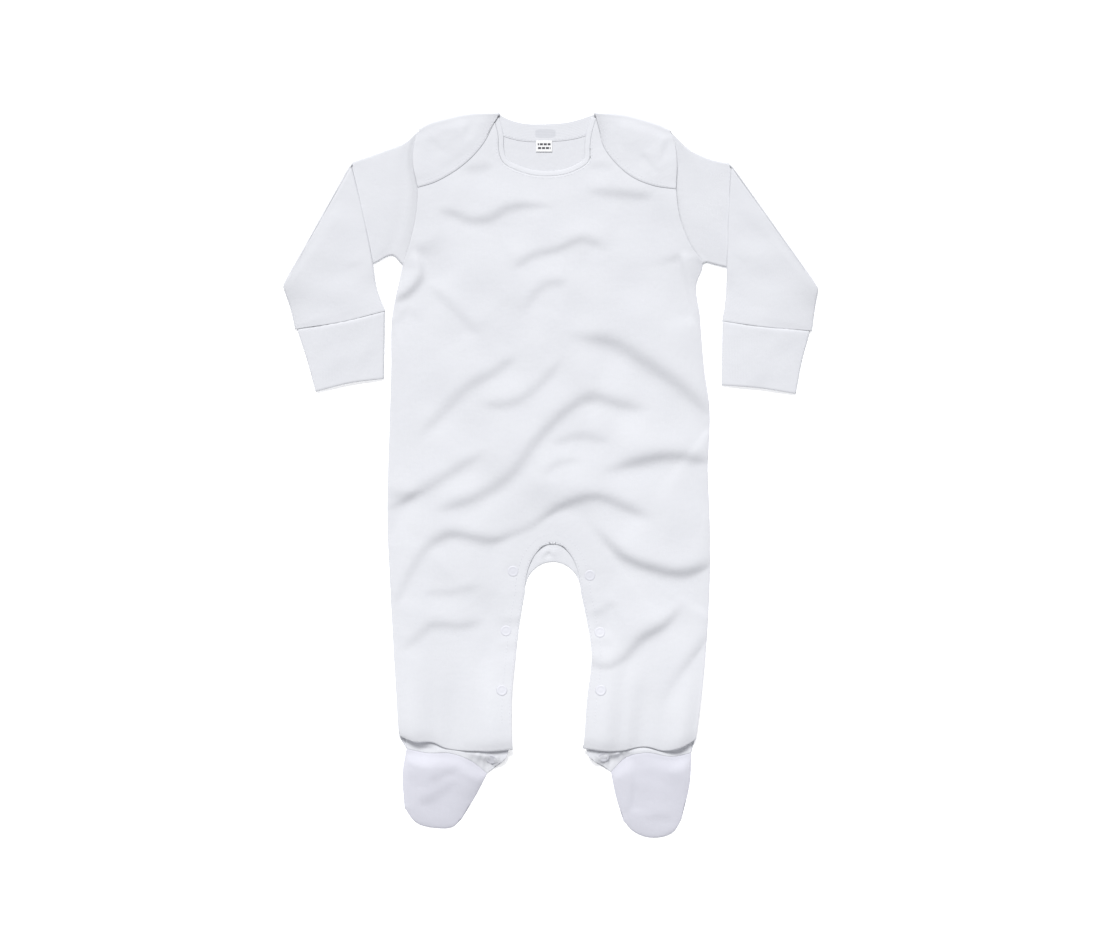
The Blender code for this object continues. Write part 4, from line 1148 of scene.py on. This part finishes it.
def tube(low, high, low_z, high_z):
    """Rings of a flat tube: along its low cloth, round one edge, back along its high cloth."""
    middle = (low_z[:, :1] + high_z[:, :1]) / 2
    far = (low_z[:, -1:] + high_z[:, -1:]) / 2
    plan = np.concatenate([low[:, 1:-1], low[:, -1:], high[:, -2:0:-1], low[:, :1], low[:, 1:2]], 1)
    z = np.concatenate([low_z[:, 1:-1], far, high_z[:, -2:0:-1], middle, low_z[:, 1:2]], 1)
    return np.concatenate([plan, z[..., None]], axis=-1)


def sleeve_grid(side):
    sign = -1 if side == "left" else 1
    top, under = edge(SLEEVE_TOP, side), edge(SLEEVE_UNDER, side)
    armhole = along(ARMHOLES[side], SLEEVE_COLUMNS) + [sign * SLEEVE_GAP, 0.0]
    run = (under[-1] - top[-1]) / np.linalg.norm(under[-1] - top[-1])
    inward = np.array([-run[1], run[0]]) * sign
    inward *= np.sign(inward @ np.array([-sign, 0.0]))
    ends = np.array([top[-1], under[-1]]) + inward * (OUTER_TURN + WALL / 2)
    fold = between(ends[0], ends[1], SLEEVE_COLUMNS)
    top[-1], under[-1] = fold[0], fold[-1]
    top[0], under[0] = armhole[0], armhole[-1]
    upper = patch(armhole, fold, along(top, even(34)), along(under, even(34)))

    seam = along(edge(CUFF_SEAM, side), SLEEVE_COLUMNS)
    inner, outer = edge(FOREARM_INNER, side), edge(FOREARM_OUTER, side)
    inner[0], outer[0] = fold[0], fold[-1]
    inner[-1], outer[-1] = seam[0], seam[-1]
    fore = patch(fold, seam, along(inner, even(56)), along(outer, even(56)))

    across = np.sin(math.pi * SLEEVE_COLUMNS)[None]
    axis_z = Z_BACK + OUTER_TURN
    w = even(34)[:, None]
    start_z = np.clip(front_height(upper[0]), Z_SECOND, Z_THIRD + LAYER)
    near_fold = axis_z - INNER_TURN
    high_z = near_fold + (start_z[None] - near_fold) * (1 - ramp(w, 0, 0.55))
    high_z = high_z + across**0.5 * SLEEVE_PUFF * np.sin(math.pi * w)**0.7
    high_z = high_z + uneven(upper, 30.0, 11) * 0.3 * across * np.sin(math.pi * w)
    low_z = np.full(high_z.shape, Z_BACK)
    rings = [tube(upper, upper, low_z, high_z)]
    from_end = np.minimum(SLEEVE_COLUMNS, 1 - SLEEVE_COLUMNS)[:, None]
    mean_turn = (OUTER_TURN + INNER_TURN) / 2
    open_fold = CORNER_TURN + (1 - CORNER_TURN) * ramp(from_end, 0.0, CORNER)
    half_turn = (OUTER_TURN - INNER_TURN) / 2 * open_fold
    for angle in np.linspace(0.0, math.pi, FOLD_STEPS)[1:-1]:
        outer_turn = fold - inward * (mean_turn + half_turn) * math.sin(angle)
        inner_turn = fold - inward * (mean_turn - half_turn) * math.sin(angle)
        z_outer = axis_z - (mean_turn + half_turn)[:, 0] * math.cos(angle)
        z_inner = axis_z - (mean_turn - half_turn)[:, 0] * math.cos(angle)
        rings.append(tube(outer_turn[None], inner_turn[None], z_outer[None], z_inner[None]))

    elbow_x, elbow_y = getattr(SLEEVE_UNDER[2], side)
    depth = np.interp(fore[..., 0] * sign, [abs(elbow_x), abs(under[-1, 0])], [elbow_y, under[-1, 1]])
    drop = ramp(depth - fore[..., 1], -3.0, 22.0)
    level = axis_z - (axis_z + INNER_TURN - Z_BACK) * drop
    v = even(56)[:, None]
    puff = ELBOW_PUFF * ramp(v, 0.0, 0.2) + FOREARM_PUFF * drop
    puff = across**0.6 * puff * (1 - 0.12 * ramp(v, 0.9, 1.0))
    soft = uneven(fore, 34.0, 12) * 0.45 + crease_height(fore, SLEEVE_CREASES[side])
    pucker = np.sin(fore[..., 0] * PUCKER_WAVE) * PUCKER * ramp(v, 0.9, 1.0)
    far = level + OUTER_TURN + puff + (soft + pucker) * across * ramp(v, 0.0, 0.08)
    rings.append(tube(fore, fore, far, level + INNER_TURN))
    points = np.concatenate(rings)
    return points, unrolled(points)


def cuff_grid(side):
    seam = along(edge(CUFF_SEAM, side), SLEEVE_COLUMNS)
    inner, outer = edge(CUFF_INNER, side), edge(CUFF_OUTER, side)
    seam = seam + between(inner[0] - seam[0], outer[0] - seam[-1], SLEEVE_COLUMNS)
    seam = seam + [0.0, CUFF_SHARE]
    inner[0], outer[0] = seam[0], seam[-1]
    end = along(edge(CUFF_END, side), SLEEVE_COLUMNS)
    plan = patch(seam, end, along(inner, even(26)), along(outer, even(26)))
    across = np.sin(math.pi * SLEEVE_COLUMNS)[None]
    v = even(26)[:, None]
    low = np.full(plan.shape[:2], DOUBLE / 2)
    high = low + DOUBLE + across**0.6 * CUFF_PUFF * (1 - CUFF_FALL * v)
    high = high + uneven(plan, 24.0, 13) * 0.25 * across
    ribs = np.sin(plan[..., 0] * PUCKER_WAVE + 0.6) * 0.25
    high = high + ribs * (1 - ramp(v, 0.0, 0.3)) * across
    high = high - CUFF_DRAWN * (v == 0.0) * across**0.3
    points = tube(plan, plan, high, low)
    return points, unrolled(points)


sleeves, cuffs = {}, {}
for side in SIDE_NAMES:
    sleeves[side] = sheet(f"sleeve_{side}_cloth", [sleeve_grid(side)], cotton,
                          f"sleeve_{side}")
    cuffs[side] = sheet(f"cuff_{side}_cloth", [cuff_grid(side)], trim,
                        f"cuff_{side}", DOUBLE)

# %% [markdown]
# ## Feet
#
# Each foot is an upper on a sole, sewn together round the toe.  The upper is highest just below the
# ankle, where the leg is bunched over it, and falls away towards the toe.  Its edge rolls down to
# the sole's, so that no open gap shows at the seam.

# %% Feet
FOOT_COLUMNS = closer(40)
FOOT_ROWS = 34
FOOT_PUFF = {"left": 6.6, "right": 5.0}
TOE_PUFF = 1.2           # what is left of the height at the toe
FOOT_RIM = 7.0           # width over which an upper rises from its sole
FOOT_OPEN = 0.22         # share of the foot's length over which the seam's rise runs out
FOOT_CREASES = {
    "left": [
        Crease("upper diagonal", [(-104, -256), (-88, -250), (-72, -240)], 1.0, 4.5, 8, 8),
        Crease("lower diagonal", [(-112, -276), (-94, -268), (-76, -254)], 1.2, 5.0, 8, 10),
    ],
    "right": [
        Crease("instep", [(67, -236), (68.5, -260), (66, -284)], 1.6, 3.5, 8, 6),
        Crease("toe", [(78, -290), (92, -286), (104, -290)], 0.6, 4.0, 8, 8),
    ],
}


def foot_plan(side):
    ankle = along(edge(ANKLE_SEAM, side), FOOT_COLUMNS)
    toe = along(edge(TOE, side), FOOT_COLUMNS)
    outer, inner = edge(FOOT_OUTER, side), edge(FOOT_INNER, side)
    return patch(ankle, toe, along(outer, even(FOOT_ROWS)), along(inner, even(FOOT_ROWS)))


def foot_outline(side):
    return np.vstack([edge(FOOT_OUTER, side), edge(TOE, side), edge(FOOT_INNER, side)[::-1]])


def upper_grid(side):
    plan = foot_plan(side)
    rim = distance(plan, foot_outline(side))
    v = even(FOOT_ROWS)[:, None]
    puff = 1 - np.exp(-rim / FOOT_RIM)
    fall = TOE_PUFF + FOOT_PUFF[side] * ramp(v, -0.15, 0.12) * (1 - 0.95 * v)
    seam_rise = (ankle_height(plan[0]) - Z_SECOND)[None]
    open_top = ramp(v, 0.0, FOOT_OPEN)
    z = Z_SECOND + seam_rise * (1 - open_top) + puff * fall * open_top
    z -= EDGE_SINK * np.exp(-rim / 1.0) * ramp(v, 0.0, 0.2)
    z += (crease_height(plan, FOOT_CREASES[side]) + uneven(plan, 20.0, 21) * 0.25) * puff
    return raised(plan, z), flat(plan)


def sole_grid(side):
    plan = foot_plan(side)
    return raised(plan, Z_BACK), flat(plan)


uppers, soles = {}, {}
for side in SIDE_NAMES:
    uppers[side] = sheet(f"upper_{side}_cloth", [upper_grid(side)], shaded_foot_cotton,
                         f"foot_upper_{side}")
    soles[side] = sheet(f"sole_{side}_cloth", [sole_grid(side)], shaded_foot_cotton,
                        f"foot_sole_{side}")

# %% [markdown]
# ## Bands, binding and label
#
# The leg opening has a doubled band on the back, which shows at the crotch, and another under the
# front.  The neck is bound with a narrow rolled strip, and a wide tape covers the seam inside the
# back of the neck, with the size label hanging from it.  The tape carries a faint printed patch.
# Its text, like that of the label, is left out: the label has two rows of plain marks instead.

# %% The tape's printed patch
PATCH_AT = (-4.2, 285.0)
PATCH_HALF = (8.6, 3.6)
PATCH_GREY = (0.52, 0.53, 0.57, 1.0)
PATCH_SHARE = 0.4        # how strongly the print covers the cloth
tape_cotton = knit("cotton_tape", RIB, COTTON, COTTON_DEEP)
x, y, _ = tape_cotton.parts(tape_cotton.node("ShaderNodeTexCoord", output=3))
aside = (x / MM - PATCH_AT[0]).size() / PATCH_HALF[0]
above = (y / MM - PATCH_AT[1]).size() / PATCH_HALF[1]
patch_mask = 1 - (aside ** 4 + above ** 4).step(0.6, 1.4)
plain = Link(tape_cotton.tree, tape_cotton.shader.inputs["Base Color"].links[0].from_socket)
tape_cotton.set("Base Color", tape_cotton.mix(patch_mask * PATCH_SHARE, plain, PATCH_GREY))
print("tape printed")

# %% Bands and binding
BAND_END = -206.0        # the bands end here, inside the leg
GATHERS = [              # small puckers where the two legs meet: place, height and reach
    (-2.0, -67.6, -1.1, 2.0), (-1.5, -64.6, 1.3, 1.7), (2.6, -66.4, 0.8, 1.8), (-5.2, -66.6, 0.8, 1.8),
    (-19.5, -95.0, -0.7, 2.2), (-17.0, -91.0, 0.5, 2.0), (20.5, -86.0, -0.6, 2.0), (18.0, -82.0, 0.4, 1.8),
]


def gathered(plan):
    """Height of the puckers over plan points."""
    crotch = np.exp(-((plan[..., 1] - CROTCH_BACK) / 22.0)**2)
    total = uneven(plan * [1.0, 0.4], 7.0, 31) * 0.22 * crotch
    for x, y, height, reach in GATHERS:
        off = np.linalg.norm(plan - [x, y], axis=-1) / reach
        total += height * np.exp(-off**2)
    return total


def leg_band(crotch, z):
    """A band of cloth round the leg opening, from one ankle over the crotch to the other."""
    left, right = inner_leg("left", crotch), inner_leg("right", crotch)
    line = np.vstack([left[::-1], right[1:]])
    nodes = along(line[line[:, 1] > BAND_END], even(220))
    run = np.gradient(nodes, axis=0)
    normal = np.column_stack([-run[:, 1], run[:, 0]])
    normal /= np.linalg.norm(normal, axis=1)[:, None]
    steps = (even(8) * BAND_WIDTH)[None, :, None]
    plan = nodes[:, None] + normal[:, None] * steps
    points = raised(plan, z + gathered(plan))
    return points, unrolled(points)


def neck_strip(nodes_of, width, z, roll, sink=0.0):
    """Both halves of a strip along a neck edge, from each corner to the middle."""
    halves = []
    steps = even(8)
    for side in SIDE_NAMES:
        nodes = nodes_of(side)
        plan = np.stack([beside(nodes, width * step, side) for step in steps], axis=1)
        tall = z + roll * np.sin(math.pi * steps)[None]**0.5 - sink * (1 - steps)[None]**1.5
        points = raised(plan, np.broadcast_to(tall, plan.shape[:2]))
        halves.append((points, unrolled(points)))
    return halves


def back_neck_nodes(side):
    return along(half_neck(BACK_NECK, side), even(NECK_SPANS))


TAPE_WALL = 0.2
Z_BACK_BAND = Z_BACK + (WALL + BAND_WALL) / 2 + AIR
Z_FRONT_BAND = Z_BACK_BAND + BAND_WALL + AIR
Z_BINDING = Z_THIRD + 0.1
Z_TAPE = Z_BACK + WALL / 2 + TAPE_WALL / 2 + 0.02
back_band = sheet("back_band_cloth", [leg_band(CROTCH_BACK, Z_BACK_BAND)], trim,
                  "back_leg_band", BAND_WALL)
front_band = sheet("front_band_cloth", [leg_band(CROTCH_FRONT, Z_FRONT_BAND)], trim,
                   "front_leg_band", BAND_WALL)
binding = sheet("neck_binding_cloth",
                neck_strip(front_neck_nodes, BINDING_WIDTH, Z_BINDING, 0.12, 0.5),
                trim, "front_neck_binding")
tape = sheet("neck_tape_cloth", neck_strip(back_neck_nodes, NECK_BAND_WIDTH, Z_TAPE, 0.0),
             tape_cotton, "back_neck_band", TAPE_WALL)

# %% Label
LABEL_WIDTH = 13.6
LABEL_DROP = 9.6
LABEL_WALL = 0.3
LABEL_AT = Vector((-5.3, BACK_NECK[-1].left[1] - NECK_BAND_WIDTH + 1.0))
MARK_ROWS = (3.2, 6.4)   # how far below the label's top its two rows of marks lie
MARK_HALF = 0.9
MARK_PITCH = 3.3
INK = (0.05, 0.05, 0.06, 1.0)
SATIN = (0.9, 0.9, 0.9)
satin = Finish("label_satin", SATIN, 0.5, Sheen_Weight=0.1)


def within(value, low, high, soft):
    """1 between two values, 0 outside them."""
    return value.step(low - soft, low + soft) * (1 - value.step(high - soft, high + soft))


across, down, _ = satin.parts(satin.node("ShaderNodeUVMap", {"uv_map": "cut"}))
across = (across - (LABEL_AT.x - LABEL_WIDTH / 2) * MM) / MM
down = (LABEL_AT.y * MM - down) / MM
rows = [within(down, row - MARK_HALF, row + MARK_HALF, 0.15) for row in MARK_ROWS]
gaps = [within((across / MARK_PITCH + shift).fraction(), 0.06, 0.86, 0.05) for shift in (0.1, 0.55)]
marks = (rows[0] * gaps[0] + rows[1] * gaps[1]) * within(across, 1.4, LABEL_WIDTH - 1.4, 0.1)
weave = ((across * 20.0).sine() * (down * 20.0).sine()) * 0.5 + 0.5
satin.set("Base Color", satin.mix(marks, (*SATIN, 1.0), INK))
satin.bump(weave, 0.05 * MM)


def label_grid():
    columns = LABEL_AT.x + (even(24) - 0.5) * LABEL_WIDTH
    rows = LABEL_AT.y - even(16) * LABEL_DROP
    plan = np.stack(np.meshgrid(columns, rows), axis=-1)
    away = ramp(rows, LABEL_AT.y, LABEL_AT.y - LABEL_DROP)[:, None]
    z = Z_BACK + WALL / 2 + TAPE_WALL + 0.2 + 0.2 * away
    points = raised(plan, np.broadcast_to(z, plan.shape[:2]))
    return points, flat(plan)


label = sheet("size_label", [label_grid()], satin, "neck_label", LABEL_WALL)

# %% [markdown]
# ## Poppers
#
# A ring popper is a small pressed ring with a dimple in the middle.  Half of its outline is spun
# round into a solid.  Twelve plumb lines round its place feel how the front leans there, and the
# popper is laid on at their mean height and tilted to match.

# %% Poppers
resin = Finish("popper_resin", (0.69, 0.695, 0.74), 0.5)
grain = resin.node("ShaderNodeTexNoise", Vector=resin.node("ShaderNodeTexCoord", output=3),
                   Scale=900.0)
resin.set("Roughness", 0.45 + 0.12 * grain)
POPPER_OUTLINE = [(0.0, 0.26), (1.4, 0.25), (2.2, 0.18), (2.8, 0.22), (3.3, 0.32), (3.8, 0.34),
                  (4.3, 0.22), (4.6, 0.02), (4.4, -0.1), (0.0, -0.1)]
CREST = POPPER_OUTLINE[4][0]             # radius of the ring's crest
PLUMB_LINES = 12
SPIN_STEPS = 32


def surface_of(piece):
    return BVHTree.FromObject(piece, bpy.context.evaluated_depsgraph_get())


def top_of(surface, x, y):
    """Where a plumb line meets a surface from above: its place and its normal."""
    place, normal, _, _ = surface.ray_cast(Vector((x, y, 100.0)) * MM, Vector((0, 0, -1)))
    return place, normal


def tilt_of(surface, x, y, reach):
    """How a surface leans round a place: the turn from upright to its average normal, and its height."""
    ring = [(math.cos(a), math.sin(a)) for a in np.linspace(0.0, 2 * math.pi, PLUMB_LINES, endpoint=False)]
    hits = [top_of(surface, x + reach * c, y + reach * s)[0].z for c, s in ring]
    lean_x = sum(z * c for z, (c, s) in zip(hits, ring)) / (PLUMB_LINES / 2) / (reach * MM)
    lean_y = sum(z * s for z, (c, s) in zip(hits, ring)) / (PLUMB_LINES / 2) / (reach * MM)
    place = Vector((x * MM, y * MM, sum(hits) / len(hits)))
    return Vector((0, 0, 1)).rotation_difference(Vector((-lean_x, -lean_y, 1))).to_matrix(), place


def popper(name, spot, lean, node):
    bm = bmesh.new()
    verts = [bm.verts.new(Vector((r, 0, z)) * MM) for r, z in POPPER_OUTLINE]
    edges = [bm.edges.new(pair) for pair in zip(verts[:-1], verts[1:])]
    bmesh.ops.spin(bm, geom=verts + edges, cent=(0, 0, 0), axis=(0, 0, 1), dvec=(0, 0, 0),
                   angle=2 * math.pi, steps=SPIN_STEPS, use_merge=True, use_normal_flip=False,
                   use_duplicate=False)
    bmesh.ops.remove_doubles(bm, verts=bm.verts, dist=0.001 * MM)
    bmesh.ops.recalc_face_normals(bm, faces=bm.faces)
    bmesh.ops.rotate(bm, verts=bm.verts, cent=(0, 0, 0), matrix=lean)
    bmesh.ops.translate(bm, verts=bm.verts, vec=spot)
    mesh = bpy.data.meshes.new(name)
    bm.to_mesh(mesh)
    bm.free()
    mesh.shade_smooth()
    return finish_piece(bpy.data.objects.new(name, mesh), resin, node)


front_surface = surface_of(front)
for row in POPPERS:
    for side in SIDE_NAMES:
        x, y = getattr(row, side)
        lean, place = tilt_of(front_surface, x, y, CREST)
        popper(f"ring_{row.place}_{side}", place, lean, f"popper_{row.place}_{side}")
print(2 * len(POPPERS), "poppers")

# %% [markdown]
# ## Stitches
#
# Two rows hold the hem of each lap and two run beside the leg opening.  Single rows run beside the
# neck and along the tape.  Each stitch is a small stretched bead, laid on the cloth where plumb
# lines meet it, so that a row follows every crease.

# %% Stitches
STITCH_PITCH = 2.8
STITCH_HALF = (1.05, 0.2, 0.16)          # half its length, width and height
LAP_ROWS = (1.6, 4.0)    # how far in from the edge each row runs
LEG_ROWS = (1.6, 8.0)
NECK_ROW, TAPE_ROW = 1.6, 1.5
LEG_ROW_END = -212.0
thread = Finish("thread", (0.77, 0.775, 0.81), 0.75, Sheen_Weight=0.2)
fluff = thread.node("ShaderNodeTexNoise", Vector=thread.node("ShaderNodeTexCoord", output=3),
                    Scale=1500.0)
thread.set("Base Color", thread.mix(fluff, (0.79, 0.795, 0.83, 1.0), (0.7, 0.705, 0.75, 1.0)))


def stitches(name, surface, lines):
    """Rows of stitches that follow plan lines over a surface."""
    bm = bmesh.new()
    count = 0
    for line in lines:
        whole = lengths(line)[-1]
        for at in np.arange(STITCH_PITCH / 2, whole - STITCH_PITCH / 2, STITCH_PITCH):
            ends = along(line, [(at - STITCH_HALF[0]) / whole, (at + STITCH_HALF[0]) / whole])
            start, end = (top_of(surface, *spot)[0] for spot in ends)
            run = (end - start).normalized()
            side = Vector((0, 0, 1)).cross(run).normalized()
            frame = Matrix((run, side, run.cross(side))).transposed().to_4x4()
            frame.translation = (start + end) / 2
            bmesh.ops.create_icosphere(bm, subdivisions=1, radius=MM,
                                       matrix=frame @ Matrix.Diagonal((*STITCH_HALF, 1.0)))
            count += 1
    mesh = bpy.data.meshes.new(name)
    bm.to_mesh(mesh)
    bm.free()
    mesh.shade_smooth()
    print(name, count, "stitches")
    return finish_piece(bpy.data.objects.new(name, mesh), thread)


def moved(line, width, toward):
    return line + outward_of(line, toward) * width


lap_rows, leg_rows, neck_rows, tape_rows = [], [], [], []
for side, sign in (("left", -1), ("right", 1)):
    lap_rows += [moved(edge(LAP_EDGE, side)[3:-3], width, (sign * 0.8, 0.6)) for width in LAP_ROWS]
    leg = FRONT_LEGS[side][1:]
    leg_rows += [moved(leg[leg[:, 1] > LEG_ROW_END], width, (sign * 0.7, 0.7)) for width in LEG_ROWS]
    neck_rows.append(beside(front_neck_nodes(side), BINDING_WIDTH + NECK_ROW, side)[8:])
    tape_rows.append(beside(back_neck_nodes(side), NECK_BAND_WIDTH - TAPE_ROW, side)[3:])
stitches("lap_stitches", surface_of(back), lap_rows)
stitches("leg_stitches", front_surface, leg_rows)
stitches("neck_stitches", front_surface, neck_rows)
stitches("tape_stitches", surface_of(tape), tape_rows)

# %% [markdown]
# ## Floor
#
# The suit lies on a plain white table top.  It glows a little, so that it stays white under the key.

# %% Floor
FLOOR_SIZE = 40.0        # metres
bm = bmesh.new()
bmesh.ops.create_grid(bm, x_segments=1, y_segments=1, size=FLOOR_SIZE / 2)
floor_mesh = bpy.data.meshes.new("floor")
bm.to_mesh(floor_mesh)
bm.free()
floor = bpy.data.objects.new("floor", floor_mesh)
bpy.context.scene.collection.objects.link(floor)
white = Finish("table_white", (0.93, 0.93, 0.93), 0.9, Emission_Color=(1, 1, 1, 1),
               Emission_Strength=0.45)
floor_mesh.materials.append(white.material)
print("floor", FLOOR_SIZE, "m wide")

# %% [markdown]
# ## The end
#
# All the pieces are built and laid on the suit.


print("all pieces built")
